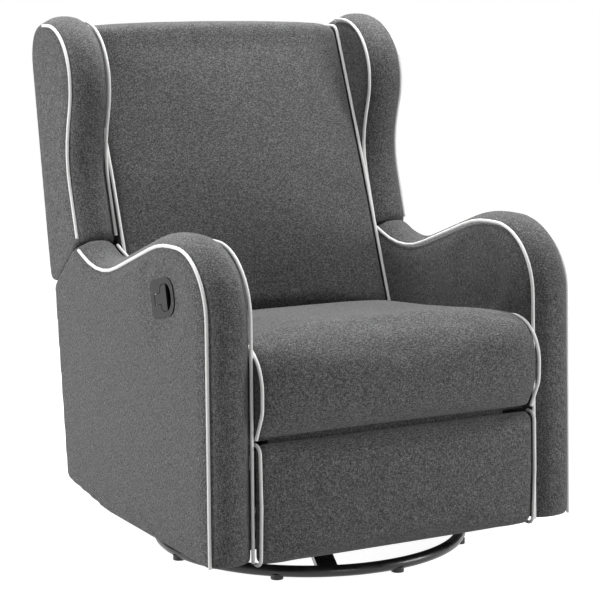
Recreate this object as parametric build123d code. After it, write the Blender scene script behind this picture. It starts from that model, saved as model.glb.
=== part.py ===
from build123d import *
import math
import os

# A swivel glider recliner with wings, on a round tube base.
# Millimetres, Z up. The chair faces -Y, and the sitter's right arm, with the latch, is on the -X side.
# Depths are measured back from the front plane of the arms, and heights from the floor.

# Overall width over the piping, and the arms
CHAIR_WIDTH = 778.0
ARM_WIDTH = 86.0
ARM_BOTTOM = 70.0
ARM_TOP = 635.0
ARM_FRONT_RADIUS = 127.0
ARM_CREST_DEPTH = 198.5
ARM_CREST_RADIUS = 280.0
ARM_DIP_DEPTH = 483.0
ARM_DIP_HEIGHT = 540.0
ARM_DIP_RADIUS = 230.0
ARM_TAIL_DEPTH = 591.0
ARM_TAIL_HEIGHT = 584.0
ARM_REAR_DEPTH = 708.0
ARM_REAR_HEIGHT = 491.0
ARM_HEEL_DEPTH = 663.0
ARM_HEEL_HEIGHT = 98.0
ARM_KICK_DEPTH = 465.0
ARM_KICK_RADIUS = 60.0
ARM_CORNER_RADIUS = 12.0
ARM_CROWN = 12.0
ARM_PADDING = 14.0

# Piping along the sewn edges
PIPING_DIAMETER = 6.5
PIPING_INSET = 0.5
PIPING_CLEARANCE = 0.2
EDGE_BEVEL = 9.0
EDGE_DROP = 4.5
SOFT_CLEARANCE = 0.5

# Wings and back
WING_ARM_GAP = 9.0
WING_SIDE_CLEARANCE = 1.5
WING_OUTER_INSET = 3.0
WING_REAR_EASE = 14.0
WING_TOP = 1020.0
WING_TOP_RADIUS = 125.0
WING_TOP_REAR_RADIUS = 80.0
WING_FRONT_DEPTH = 610.0
WING_BULGE_HEIGHT = 868.0
WING_BULGE_RADIUS = 150.0
WING_RECESS_DEPTH = 643.0
WING_RECESS_HEIGHT = 757.0
WING_RECESS_RADIUS = 190.0
WING_HEEL_DEPTH = 754.0
WING_HEEL_HEIGHT = 486.0
WING_HEEL_RADIUS = 24.0
WING_HEEL_FLAT = 46.0
WING_BOTTOM_RADIUS = 40.0
WING_CROWN = 9.0
BACK_LEAN = 9.62
BACK_FRAME_BOTTOM = 345.0
BACK_FRAME_TOP = 958.0
BACK_POST_DEPTH = 40.0
BACK_RAIL_DEPTH = 25.0
BACK_RAIL_HEIGHT = 45.0
BACK_MIDDLE_RAIL_HEIGHT = 640.0
WEBBING_WIDTH = 55.0
WEBBING_THICKNESS = 2.0
WEBBING_COUNT = 4
OUTSIDE_BACK_THICKNESS = 8.0
OUTSIDE_BACK_TOP = 985.0
OUTSIDE_BACK_INSET = 24.0
OUTSIDE_BACK_SLOPE = 40.0
OUTSIDE_BACK_BOTTOM = 262.0
BACK_CUSHION_BOTTOM = 396.0
BACK_CUSHION_TOP = 1006.0
BACK_CUSHION_BOTTOM_THICKNESS = 235.75
BACK_CUSHION_TOP_THICKNESS = 100.0
BACK_FACE_BOW = 4.0
BACK_FACE_RADIUS = 500.0
BACK_CUSHION_CROWN = 34.0
BACK_CUSHION_TOP_CROWN = 12.0

# Seat
SEAT_LIP_HEIGHT = 296.0
SEAT_LIP_REACH = 2.0
SEAT_LIP_CROWN = 4.0
SEAT_LIP_RISE = 52.0
SEAT_LIP_RADIUS = 50.0
SEAT_FRONT_REACH = 27.0
SEAT_FRONT_CROWN = 12.0
SEAT_FRONT_HEIGHT = 476.0
SEAT_FRONT_RADIUS = 80.0
SEAT_REAR_HEIGHT = 430.0
SEAT_REAR_DEPTH = 470.0
SEAT_CROWN = 15.0
SEAT_RAIL_THICKNESS = 24.0
SEAT_RAIL_BOTTOM = 285.0
SEAT_RAIL_HEIGHT = 40.0
SEAT_RAIL_FRONT = 34.0
SEAT_RAIL_REAR = 560.0
FRONT_RAIL_DROP = 32.0
FRONT_RAIL_SIDE_GAP = 6.0
SPRING_COUNT = 5
SPRING_SIDE_GAP = 43.25
SPRING_WIDTH = 54.0
SPRING_WIRE = 4.0
SPRING_TURNS = 14
CLIP_WIDTH = 22.0
CLIP_THICKNESS = 1.5
CLIP_MARGIN = 4.0

# Footrest
FOOTREST_BOTTOM = 67.0
FOOTREST_TOP = 287.0
FOOTREST_REACH = 14.0
FOOTREST_EDGE_RADIUS = 18.0
FOOTREST_CROWN = 14.0
FOOTREST_FACE_BOW = 4.0
FOOTREST_FACE_RADIUS = 300.0
FOOTREST_BOARD_DEPTH = 12.0
FOOTREST_BOARD_THICKNESS = 12.0
FOOTREST_BOARD_MARGIN = 12.0
FOOTREST_SIDE_CLEARANCE = 1.5

# Footrest linkage: the rear link hangs at rest, and the guide link runs parallel to the front link
LINK_PIVOT_DEPTH = 112.0
LINK_PIVOT_HEIGHT = 262.0
REAR_LINK_LENGTH = 125.0
FRONT_LINK_LENGTH = 145.0
GUIDE_OFFSET = 44.0
REAR_LINK_REST_ANGLE = -90.0
GUIDE_SKEW = -5.0
FRONT_LINK_REST_ANGLE = 60.0
LINK_WIDTH = 24.0
LINK_THICKNESS = 4.0
LINK_GAP = 1.0
LINK_PIN_DIAMETER = 8.0
TORQUE_TUBE_DIAMETER = 20.0
TORQUE_TUBE_WALL = 2.0
BRACKET_FLANGE = 20.0

# Mechanism plates and the glide
PLATE_THICKNESS = 3.0
PLATE_FRONT = 85.0
PLATE_REAR = 628.0
BACK_PIVOT_DEPTH = 600.0
BACK_PIVOT_HEIGHT = 300.0
BACK_PIN_DIAMETER = 12.0
BACK_BRACKET_THICKNESS = 4.0
BACK_BRACKET_BOSS = 22.0
GLIDE_FRONT_DEPTH = 211.0
GLIDE_REAR_DEPTH = 471.0
GLIDE_UPPER_HEIGHT = 225.0
GLIDE_LINK_LENGTH = 133.0
GLIDE_LINK_WIDTH = 32.0
GLIDE_LINK_THICKNESS = 4.0
GLIDE_PIN_DIAMETER = 10.0
BEARING_DIAMETER = 22.0
BEARING_WIDTH = 5.0
RUNNING_CLEARANCE = 0.05
SNUG_CLEARANCE = 0.02
GLIDE_RAIL_WIDTH = 30.0
GLIDE_RAIL_HEIGHT = 20.0
GLIDE_RAIL_OVERHANG = 36.0
GLIDE_CROSS_DEPTH = 30.0
GLIDE_CENTRE_DEPTH = 60.0
GLIDE_POST_WIDTH = 50.0
GLIDE_POST_THICKNESS = 4.0
GLIDE_POST_CAP = 25.0
GLIDE_SIDE_GAP = 2.0
CARRIAGE_GAP = 3.0
CARRIAGE_THICKNESS = 4.0
CARRIAGE_FLANGE = 33.25
CARRIAGE_DROP = 18.0
CARRIAGE_HEIGHT = 38.0
CARRIAGE_OVERHANG = 60.0

# Base and swivel
SWIVEL_DEPTH = 341.0
RING_RADIUS = 300.0
RING_TUBE_DIAMETER = 22.0
RING_TUBE_WALL = 2.0
FOOT_HEIGHT = 4.0
FOOT_DIAMETER = 24.0
FOOT_SADDLE = 6.0
FOOT_COUNT = 8
FOOT_TURN = 4.5
WELD_GAP = 0.1
CROSS_BAR_WIDTH = 38.0
CROSS_BAR_HEIGHT = 14.0
CROSS_BAR_TURN = 67.5
RACE_RADIUS = 85.0
RACE_THICKNESS = 6.0
RACE_GAP = 4.0
BALL_DIAMETER = 8.0
BALL_CIRCLE_RADIUS = 66.0
BALL_COUNT = 20
SWIVEL_PIVOT_DIAMETER = 16.0
SWIVEL_NUT_DIAMETER = 32.0
SWIVEL_NUT_HEIGHT = 10.0
SWIVEL_NUT_GAP = 0.3
RACE_SCREW_DIAMETER = 8.0
RACE_SCREW_RADIUS = 40.0
RACE_SCREW_DEPTH = 8.0

# Arm frame
ARM_INNER_BOARD = 12.0
ARM_OUTER_BOARD = 9.0
ARM_SPACER = 34.0
FRAME_CLEARANCE = 0.3

# Latch on the sitter's right arm
LATCH_DEPTH = 178.0
LATCH_HEIGHT = 533.0
LATCH_TILT = 13.0
LATCH_LENGTH = 99.0
LATCH_TALL = 71.0
LATCH_FLANGE = 2.5
LATCH_REAR_CORNER = 16.0
LATCH_FRONT_CORNER = 30.0
LATCH_CUP_DEPTH = 34.0
LATCH_WALL = 2.0
LATCH_WINDOW_TALL = 50.0
LATCH_WINDOW_FRONT = 38.0
LATCH_WINDOW_REAR = 8.0
LATCH_WINDOW_REAR_CORNER = 13.0
LATCH_WINDOW_FRONT_CORNER = 22.0
LATCH_TAB_REAR = 34.0
LATCH_TAB_TALL = 21.0
LATCH_FINGER_SLOT = 20.0
LATCH_LEVER_THICKNESS = 4.0
LATCH_LEVER_GAP = 1.0
LATCH_LUG = 4.5
LATCH_LUG_GAP = 0.3
LATCH_AXIS_BACK = 4.0
LATCH_PIN_DIAMETER = 3.0
LATCH_SCREW_DIAMETER = 4.0
LATCH_SCREW_LENGTH = 24.0
LATCH_SCREW_INSET = 6.5
CABLE_DIAMETER = 5.0
CABLE_EXIT_HEIGHT = 238.0
CABLE_BEND_RADIUS = 26.0
CABLE_SIDE_GAP = 10.0
CABLE_HOLE_CLEARANCE = 0.5
RELEASE_PIVOT_DEPTH = 200.0
RELEASE_PIVOT_HEIGHT = 206.0
RELEASE_ARM_REACH = 34.0
RELEASE_ARM_WIDTH = 16.0
RELEASE_ARM_THICKNESS = 3.0
RELEASE_PIN_DIAMETER = 6.0

# Rear panel between the arms
REAR_PANEL_SETBACK = 11.0
REAR_PANEL_THICKNESS = 12.0
REAR_PANEL_BOTTOM = 98.0
REAR_PANEL_TOP = 250.0

# Places that follow from the sizes above
PIPING_RADIUS = PIPING_DIAMETER / 2
PIPING_PROUD = PIPING_RADIUS - PIPING_INSET
ARM_OUTER = CHAIR_WIDTH / 2 - PIPING_PROUD
ARM_INNER = ARM_OUTER - ARM_WIDTH
WING_INNER = ARM_INNER - WING_SIDE_CLEARANCE
WING_OUTER = ARM_OUTER - WING_OUTER_INSET
SEAT_HALF = ARM_INNER - 2 * PIPING_PROUD - SOFT_CLEARANCE
FOOTREST_HALF = SEAT_HALF + SOFT_CLEARANCE - FOOTREST_SIDE_CLEARANCE
BACK_HALF = WING_INNER - 2 * PIPING_PROUD - SOFT_CLEARANCE
SEAT_RAIL_INNER = ARM_INNER - SEAT_RAIL_THICKNESS
SEAT_RAIL_TOP = SEAT_RAIL_BOTTOM + SEAT_RAIL_HEIGHT
SEAT_BASE = SEAT_RAIL_TOP + SPRING_WIRE + CLIP_THICKNESS + SOFT_CLEARANCE
PLATE_INNER = SEAT_RAIL_INNER - PLATE_THICKNESS
REAR_LINK_OUTER = PLATE_INNER - LINK_GAP
FRONT_LINK_OUTER = REAR_LINK_OUTER - LINK_THICKNESS - LINK_GAP
GUIDE_LINK_OUTER = FRONT_LINK_OUTER - LINK_THICKNESS - LINK_GAP
GUIDE_LINK_INNER = GUIDE_LINK_OUTER - LINK_THICKNESS
LINK_PIN_RADIUS = LINK_PIN_DIAMETER / 2
BRACKET_INNER = REAR_LINK_OUTER - LINK_THICKNESS
BACK_BRACKET_OUTER = BRACKET_INNER
BACK_BRACKET_INNER = BACK_BRACKET_OUTER - BACK_BRACKET_THICKNESS
GLIDE_LOWER_HEIGHT = GLIDE_UPPER_HEIGHT - GLIDE_LINK_LENGTH
CARRIAGE_OUTER = SEAT_RAIL_INNER - CARRIAGE_FLANGE
CARRIAGE_INNER = CARRIAGE_OUTER - CARRIAGE_THICKNESS
GLIDE_LINK_OUTER = CARRIAGE_INNER - CARRIAGE_GAP
GLIDE_LINK_INNER = GLIDE_LINK_OUTER - GLIDE_LINK_THICKNESS
GLIDE_LINK_MIDDLE = (GLIDE_LINK_INNER + GLIDE_LINK_OUTER) / 2
GLIDE_POST_OUTER = GLIDE_LINK_INNER - GLIDE_SIDE_GAP
GLIDE_RAIL_OUTER = GLIDE_POST_OUTER - GLIDE_POST_THICKNESS
CARRIAGE_BOTTOM = GLIDE_LOWER_HEIGHT - CARRIAGE_DROP
PLATE_BOTTOM = CARRIAGE_BOTTOM + CARRIAGE_THICKNESS
RING_TUBE_RADIUS = RING_TUBE_DIAMETER / 2
RING_HEIGHT = FOOT_HEIGHT + RING_TUBE_RADIUS
RING_TOP = FOOT_HEIGHT + RING_TUBE_DIAMETER
UPPER_RACE_BOTTOM = RING_TOP + RACE_THICKNESS + RACE_GAP
GLIDE_RAIL_BOTTOM = UPPER_RACE_BOTTOM + RACE_THICKNESS
GLIDE_RAIL_TOP = GLIDE_RAIL_BOTTOM + GLIDE_RAIL_HEIGHT
SWIVEL_PIVOT_RADIUS = SWIVEL_PIVOT_DIAMETER / 2
FRAME_INNER = ARM_INNER + ARM_PADDING
FRAME_OUTER = ARM_OUTER - ARM_PADDING


def back_plane_depth(height):
    """Depth of the leaning plane at the back of the frame, at a height."""
    return WING_HEEL_DEPTH + (height - WING_HEEL_HEIGHT) * math.tan(math.radians(BACK_LEAN))


BACK_REACH = back_plane_depth(OUTSIDE_BACK_TOP) + OUTSIDE_BACK_THICKNESS * math.cos(math.radians(BACK_LEAN))
FRONT_Y = (SEAT_FRONT_REACH + SEAT_FRONT_CROWN - BACK_REACH) / 2
SWIVEL_Y = FRONT_Y + SWIVEL_DEPTH

# Share of the full crown that a padded form has, from its middle out to its sewn edge
CROWN_STATIONS = (0.0, 0.4, 0.7, 0.88)
ROUND_CROWN = 2
FULL_CROWN = 6


def side_face(points, radii, x):
    """A face in the plane at x, round whose corners the given radii run."""
    corners = [(FRONT_Y + depth, height) for depth, height in points]
    outline = FilletPolyline(*corners, radius=radii, close=True)
    return Plane.YZ.offset(x) * make_face(outline)


def side_plate(points, radii, x_from, x_to):
    """A flat piece of an outline in depth and height, between two x places."""
    return extrude(side_face(points, radii, x_from), amount=x_to - x_from)


def block(x_from, x_to, depth_from, depth_to, low, high):
    """A straight-sided block between two opposite corners."""
    size = Box(x_to - x_from, depth_to - depth_from, high - low)
    return Pos((x_from + x_to) / 2, FRONT_Y + (depth_from + depth_to) / 2, (low + high) / 2) * size


def cross_pin(x_from, x_to, place, radius):
    """A round pin along X at a depth and height."""
    depth, height = place
    return Pos((x_from + x_to) / 2, FRONT_Y + depth, height) * Rot(0, 90, 0) * Cylinder(radius, x_to - x_from)


def strap(start, end, width, x_from, x_to):
    """A flat link with round ends between two pivot places."""
    length = math.dist(start, end)
    turn = math.degrees(math.atan2(end[1] - start[1], end[0] - start[0]))
    middle = Pos(FRONT_Y + (start[0] + end[0]) / 2, (start[1] + end[1]) / 2)
    slot = middle * Rot(0, 0, turn) * SlotCenterToCenter(length, width)
    return extrude(Plane.YZ.offset(x_from) * slot, amount=x_to - x_from)


def other_side(shape):
    """The same piece on the other side of the chair."""
    return mirror(shape, about=Plane.YZ)


def both_sides(shape):
    """A piece and its mirror copy as one group."""
    return Compound(list(shape.solids()) + list(other_side(shape).solids()))


def group(shapes):
    """Several separate solids as one group."""
    return Compound([solid for shape in shapes for solid in shape.solids()])


def save(name, shape):
    """Write one named piece."""
    export_step(shape, os.path.join("parts", name + ".step"))


def move_edges(points, radii, shifts):
    """An outline whose edges, each from a point to the next, are moved outward by their own amounts."""
    moved = []
    new_radii = []
    count = len(points)
    for index in range(count):
        corner = points[index]
        before = outward(points[index - 1], corner)
        after = outward(corner, points[(index + 1) % count])
        turn = before[0] * after[1] - before[1] * after[0]
        first = shifts[index - 1]
        second = shifts[index]
        step_depth = (first * after[1] - second * before[1]) / turn
        step_height = (second * before[0] - first * after[0]) / turn
        moved.append((corner[0] + step_depth, corner[1] + step_height))
        change = math.copysign((first + second) / 2, turn * (first + second))
        new_radii.append(max(radii[index] + change, 0.5))
    return moved, new_radii


def outward(start, end):
    """Unit normal on the outer side of an edge of an anticlockwise outline."""
    length = math.dist(start, end)
    return ((end[1] - start[1]) / length, (start[0] - end[0]) / length)


def piping_lift():
    """How far the line of the piping stands off the outline, so that it rests on the bevelled edge."""
    slope = math.hypot(EDGE_BEVEL, EDGE_DROP)
    seat = PIPING_RADIUS + PIPING_CLEARANCE
    return (seat * slope - (EDGE_BEVEL - PIPING_INSET) * EDGE_DROP) / EDGE_BEVEL


def towards(start, end, length):
    """The place at a length from one point on the way to another."""
    share = length / math.dist(start, end)
    return (start[0] + share * (end[0] - start[0]), start[1] + share * (end[1] - start[1]))


def rounding_length(points, radii, index):
    """How far from a corner its rounding starts."""
    before = outward(points[index - 1], points[index])
    after = outward(points[index], points[(index + 1) % len(points)])
    turn = math.acos(before[0] * after[0] + before[1] * after[1])
    return radii[index] * math.tan(turn / 2)


def piping(points, radii, piped, x):
    """Piping along the piped edges, which follow each other, of an outline at x."""
    lift = [piping_lift() if index in piped else 0.0 for index in range(len(points))]
    line, line_radii = move_edges(points, radii, lift)
    count = len(points)
    order = [index % count for index in piped] + [(piped[-1] + 1) % count]
    stops = [line[index] for index in order]
    stops[0] = towards(line[order[0]], line[order[1]], rounding_length(line, line_radii, order[0]))
    stops[-1] = towards(line[order[-1]], line[order[-2]], rounding_length(line, line_radii, order[-1]))
    path_points = [(x, FRONT_Y + depth, height) for depth, height in stops]
    path = FilletPolyline(*path_points, radius=[line_radii[index] for index in order[1:-1]])
    section = Plane(origin=path @ 0, z_dir=path % 0) * Circle(PIPING_RADIUS)
    return sweep(section, path=path)


def panel_form(points, radii, piped, crown, x_inner, x_outer, eased=(), ease=0.0):
    """A padded side panel: a crowned band between two piped edges, and other edges eased off outside."""
    middle = (x_inner + x_outer) / 2
    quarter = (x_outer - x_inner - 2 * EDGE_BEVEL) / 4
    stations = [
        (x_inner, -EDGE_DROP, 0.0),
        (x_inner + EDGE_BEVEL, 0.0, 0.0),
        (middle - quarter, crown * 0.75, 0.0),
        (middle, crown, 0.0),
        (middle + quarter, crown * 0.75, 0.0),
        (x_outer - EDGE_BEVEL, 0.0, ease * 0.3),
        (x_outer, -EDGE_DROP, ease),
    ]
    sections = []
    for x, amount, off in stations:
        shifts = []
        for index in range(len(points)):
            if index in piped:
                shifts.append(amount)
            elif index in eased:
                shifts.append(-off)
            else:
                shifts.append(0.0)
        sections.append(side_face(*move_edges(points, radii, shifts), x))
    return loft(sections, ruled=True)


def cushion_form(points, radii, swells, piped, half, fullness):
    """A crowned cushion: each corner of its outline moves by its swell, more fully for a higher fullness."""
    sections = []
    shifts = [-EDGE_DROP if index in piped else 0.0 for index in range(len(points))]
    sections.append(side_face(*move_edges(points, radii, shifts), -half))
    sections.append(side_face(points, radii, -half + EDGE_BEVEL))
    inner_half = half - EDGE_BEVEL
    places = sorted([-share for share in CROWN_STATIONS[1:]] + list(CROWN_STATIONS))
    for share in places:
        amount = math.sqrt(1 - abs(share) ** fullness)
        corners = []
        for (depth, height), (depth_swell, height_swell) in zip(points, swells):
            corners.append((depth + amount * depth_swell, height + amount * height_swell))
        sections.append(side_face(corners, radii, share * inner_half))
    sections.append(side_face(points, radii, half - EDGE_BEVEL))
    sections.append(side_face(*move_edges(points, radii, shifts), half))
    return loft(sections, ruled=True)


def split_outline(corners):
    """Points and radii of an outline written as depth, height and radius."""
    points = [(depth, height) for depth, height, radius in corners]
    radii = [radius for depth, height, radius in corners]
    return points, radii


os.makedirs("parts", exist_ok=True)

# Base: a bent tube ring, cross bars welded inside it, and glides under it
ring = Torus(RING_RADIUS, RING_TUBE_RADIUS) - Torus(RING_RADIUS, RING_TUBE_RADIUS - RING_TUBE_WALL)
base_place = Pos(0, SWIVEL_Y, RING_HEIGHT)
save("base_ring", base_place * ring)

weld_clear = base_place * Torus(RING_RADIUS, RING_TUBE_RADIUS + WELD_GAP)
bar_height = RING_TOP - CROSS_BAR_HEIGHT / 2
long_bar = Box(2 * RING_RADIUS, CROSS_BAR_WIDTH, CROSS_BAR_HEIGHT)
half_length = RING_RADIUS - CROSS_BAR_WIDTH / 2
half_bar = Box(CROSS_BAR_WIDTH, half_length, CROSS_BAR_HEIGHT)
half_place = (half_length + CROSS_BAR_WIDTH) / 2
screw_places = []
for quarter in range(4):
    screw_angle = math.radians(CROSS_BAR_TURN + 90 * quarter)
    across = RACE_SCREW_RADIUS * math.cos(screw_angle)
    screw_places.append((across, RACE_SCREW_RADIUS * math.sin(screw_angle)))
race_screw = Cylinder(RACE_SCREW_DIAMETER / 2, RACE_THICKNESS + RACE_SCREW_DEPTH)
race_screw_hole = Cylinder(RACE_SCREW_DIAMETER / 2 + SNUG_CLEARANCE, RACE_THICKNESS + RACE_SCREW_DEPTH)
screw_height = RING_TOP + (RACE_THICKNESS - RACE_SCREW_DEPTH) / 2
race_screws = [Pos(x, SWIVEL_Y + y, screw_height) * race_screw for x, y in screw_places]
race_holes = [Pos(x, SWIVEL_Y + y, screw_height) * race_screw_hole for x, y in screw_places]
bar_turn = Pos(0, SWIVEL_Y, bar_height) * Rot(0, 0, CROSS_BAR_TURN)
bars = [bar_turn * long_bar]
for place in (half_place, -half_place):
    bars.append(bar_turn * Pos(0, place, 0) * half_bar)
bars = [bar - weld_clear - race_holes for bar in bars]
bars = [bar & Pos(0, SWIVEL_Y, bar_height) * Cylinder(RING_RADIUS, CROSS_BAR_HEIGHT) for bar in bars]
save("base_cross_bars", group(bars))

glide = Cylinder(FOOT_DIAMETER / 2, FOOT_HEIGHT + FOOT_SADDLE)
glides = []
for number in range(FOOT_COUNT):
    angle = math.radians(FOOT_TURN) + 2 * math.pi * number / FOOT_COUNT
    across = RING_RADIUS * math.cos(angle)
    along_y = SWIVEL_Y + RING_RADIUS * math.sin(angle)
    glides.append(Pos(across, along_y, (FOOT_HEIGHT + FOOT_SADDLE) / 2) * glide - weld_clear)
save("base_glides", group(glides))

# Swivel: two races with balls between them, round a centre pivot
groove = Torus(BALL_CIRCLE_RADIUS, BALL_DIAMETER / 2 + 2 * RUNNING_CLEARANCE)
ball_height = RING_TOP + RACE_THICKNESS + RACE_GAP / 2
groove_cut = Pos(0, SWIVEL_Y, ball_height) * groove
pivot_hole = Cylinder(SWIVEL_PIVOT_RADIUS + RUNNING_CLEARANCE, 4 * GLIDE_RAIL_HEIGHT)
pivot_bore = Pos(0, SWIVEL_Y, ball_height) * pivot_hole
race = Cylinder(RACE_RADIUS, RACE_THICKNESS)
lower_race = Pos(0, SWIVEL_Y, RING_TOP + RACE_THICKNESS / 2) * race - groove_cut - pivot_bore - race_holes
upper_race = Pos(0, SWIVEL_Y, UPPER_RACE_BOTTOM + RACE_THICKNESS / 2) * race - groove_cut - pivot_bore
save("swivel_lower_race", lower_race)
save("swivel_upper_race", upper_race)
save("race_screws", group(race_screws))
balls = []
for number in range(BALL_COUNT):
    angle = 2 * math.pi * number / BALL_COUNT
    across = BALL_CIRCLE_RADIUS * math.cos(angle)
    along_y = SWIVEL_Y + BALL_CIRCLE_RADIUS * math.sin(angle)
    balls.append(Pos(across, along_y, ball_height) * Sphere(BALL_DIAMETER / 2))
save("swivel_balls", group(balls))

pivot_top = GLIDE_RAIL_TOP + SWIVEL_NUT_GAP
shaft = Cylinder(SWIVEL_PIVOT_RADIUS, pivot_top - RING_TOP)
pivot_shaft = Pos(0, SWIVEL_Y, (RING_TOP + pivot_top) / 2) * shaft
nut = extrude(RegularPolygon(SWIVEL_NUT_DIAMETER / 2, 6), amount=SWIVEL_NUT_HEIGHT)
pivot_nut = Pos(0, SWIVEL_Y, pivot_top) * nut
save("swivel_pivot", pivot_shaft + pivot_nut)

# Glide frame on the swivel: rails, cross members and posts that the links hang from
rail_front = GLIDE_FRONT_DEPTH - GLIDE_RAIL_OVERHANG
rail_rear = GLIDE_REAR_DEPTH + GLIDE_RAIL_OVERHANG
rail_inner = GLIDE_RAIL_OUTER - GLIDE_RAIL_WIDTH
rail = block(rail_inner, GLIDE_RAIL_OUTER, rail_front, rail_rear, GLIDE_RAIL_BOTTOM, GLIDE_RAIL_TOP)
save("glide_side_rails", both_sides(rail))
cross_members = []
for middle, depth in (
    (GLIDE_FRONT_DEPTH, GLIDE_CROSS_DEPTH),
    (SWIVEL_DEPTH, GLIDE_CENTRE_DEPTH),
    (GLIDE_REAR_DEPTH, GLIDE_CROSS_DEPTH),
):
    front = middle - depth / 2
    member = block(-rail_inner, rail_inner, front, front + depth, GLIDE_RAIL_BOTTOM, GLIDE_RAIL_TOP)
    cross_members.append(member - pivot_bore)
save("glide_cross_members", group(cross_members))

posts = []
upper_pins = []
lower_pins = []
link_pairs = []
bearing_pairs = []
glide_pin_radius = GLIDE_PIN_DIAMETER / 2
for depth in (GLIDE_FRONT_DEPTH, GLIDE_REAR_DEPTH):
    upper = (depth, GLIDE_UPPER_HEIGHT)
    lower = (depth, GLIDE_LOWER_HEIGHT)
    half_post = GLIDE_POST_WIDTH / 2
    post_top = GLIDE_UPPER_HEIGHT + GLIDE_POST_CAP
    post = side_plate(
        [
            (depth - half_post, GLIDE_RAIL_BOTTOM),
            (depth + half_post, GLIDE_RAIL_BOTTOM),
            (depth + half_post, post_top),
            (depth - half_post, post_top),
        ],
        [0, 0, GLIDE_POST_CAP * 0.9, GLIDE_POST_CAP * 0.9],
        GLIDE_RAIL_OUTER,
        GLIDE_POST_OUTER,
    )
    pin_hole = cross_pin(GLIDE_RAIL_OUTER, GLIDE_LINK_OUTER, upper, glide_pin_radius + SNUG_CLEARANCE)
    posts.append(both_sides(post - pin_hole))
    bearing_from = GLIDE_LINK_MIDDLE - BEARING_WIDTH / 2
    bearing_to = GLIDE_LINK_MIDDLE + BEARING_WIDTH / 2
    upper_pins.append(both_sides(cross_pin(GLIDE_RAIL_OUTER, bearing_to, upper, glide_pin_radius)))
    lower_pins.append(both_sides(cross_pin(bearing_from, CARRIAGE_OUTER, lower, glide_pin_radius)))
    link = strap(upper, lower, GLIDE_LINK_WIDTH, GLIDE_LINK_INNER, GLIDE_LINK_OUTER)
    bearings = []
    for place in (upper, lower):
        link -= cross_pin(GLIDE_LINK_INNER, GLIDE_LINK_OUTER, place, BEARING_DIAMETER / 2 + SNUG_CLEARANCE)
        bearing = cross_pin(bearing_from, bearing_to, place, BEARING_DIAMETER / 2)
        bearing -= cross_pin(bearing_from, bearing_to, place, glide_pin_radius + RUNNING_CLEARANCE)
        bearings.append(both_sides(bearing))
    link_pairs.append(both_sides(link))
    bearing_pairs.append(group(bearings))
save("glide_posts", group(posts))
save("glide_upper_pins", group(upper_pins))
save("glide_lower_pins", group(lower_pins))
save("glide_links_front", link_pairs[0])
save("glide_links_rear", link_pairs[1])
save("front_link_bearings", bearing_pairs[0])
save("rear_link_bearings", bearing_pairs[1])

# Carriage: angle rails on the lower pins, and the mechanism plates that stand on them
carriage_front = GLIDE_FRONT_DEPTH - CARRIAGE_OVERHANG
carriage_rear = GLIDE_REAR_DEPTH + CARRIAGE_OVERHANG
carriage_top = CARRIAGE_BOTTOM + CARRIAGE_HEIGHT
carriage = block(CARRIAGE_INNER, CARRIAGE_OUTER, carriage_front, carriage_rear, CARRIAGE_BOTTOM, carriage_top)
carriage += block(
    CARRIAGE_OUTER, SEAT_RAIL_INNER, carriage_front, carriage_rear, CARRIAGE_BOTTOM, PLATE_BOTTOM
)
for depth in (GLIDE_FRONT_DEPTH, GLIDE_REAR_DEPTH):
    place = (depth, GLIDE_LOWER_HEIGHT)
    carriage -= cross_pin(CARRIAGE_INNER, CARRIAGE_OUTER, place, glide_pin_radius + SNUG_CLEARANCE)
save("carriage_rails", both_sides(carriage))

link_pivot = (LINK_PIVOT_DEPTH, LINK_PIVOT_HEIGHT)
back_pivot = (BACK_PIVOT_DEPTH, BACK_PIVOT_HEIGHT)
back_pin_radius = BACK_PIN_DIAMETER / 2
plate_points, plate_radii = split_outline([
    (carriage_front, PLATE_BOTTOM, 10.0),
    (carriage_rear, PLATE_BOTTOM, 10.0),
    (PLATE_REAR, BACK_PIVOT_HEIGHT - 30.0, 20.0),
    (PLATE_REAR, SEAT_RAIL_TOP, 10.0),
    (PLATE_FRONT, SEAT_RAIL_TOP, 10.0),
    (PLATE_FRONT, LINK_PIVOT_HEIGHT - 30.0, 20.0),
])
plate = side_plate(plate_points, plate_radii, PLATE_INNER, SEAT_RAIL_INNER)
plate -= cross_pin(PLATE_INNER, SEAT_RAIL_INNER, link_pivot, LINK_PIN_RADIUS + SNUG_CLEARANCE)
plate -= cross_pin(PLATE_INNER, SEAT_RAIL_INNER, back_pivot, back_pin_radius + SNUG_CLEARANCE)
release_pivot = (RELEASE_PIVOT_DEPTH, RELEASE_PIVOT_HEIGHT)
release_inner = SEAT_RAIL_INNER + LINK_GAP
release_outer = release_inner + RELEASE_ARM_THICKNESS
release_stud = cross_pin(SEAT_RAIL_INNER, release_outer, release_pivot, RELEASE_PIN_DIAMETER / 2)
save("mechanism_plate_left", plate)
save("mechanism_plate_right", other_side(plate + release_stud))
back_pin = cross_pin(BACK_BRACKET_INNER, SEAT_RAIL_INNER, back_pivot, back_pin_radius)
save("back_pivot_pins", both_sides(back_pin))
link_pivot_pin = cross_pin(BRACKET_INNER, SEAT_RAIL_INNER, link_pivot, LINK_PIN_RADIUS)
save("footrest_pivot_pins", both_sides(link_pivot_pin))

# Release arm, a small crank on the outer side of the right mechanism plate
release_tip = (RELEASE_PIVOT_DEPTH, RELEASE_PIVOT_HEIGHT + RELEASE_ARM_REACH)
release_arm = strap(release_pivot, release_tip, RELEASE_ARM_WIDTH, release_inner, release_outer)
release_bore = RELEASE_PIN_DIAMETER / 2 + RUNNING_CLEARANCE
release_arm -= cross_pin(release_inner, release_outer, release_pivot, release_bore)
save("release_arm", other_side(release_arm))

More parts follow.
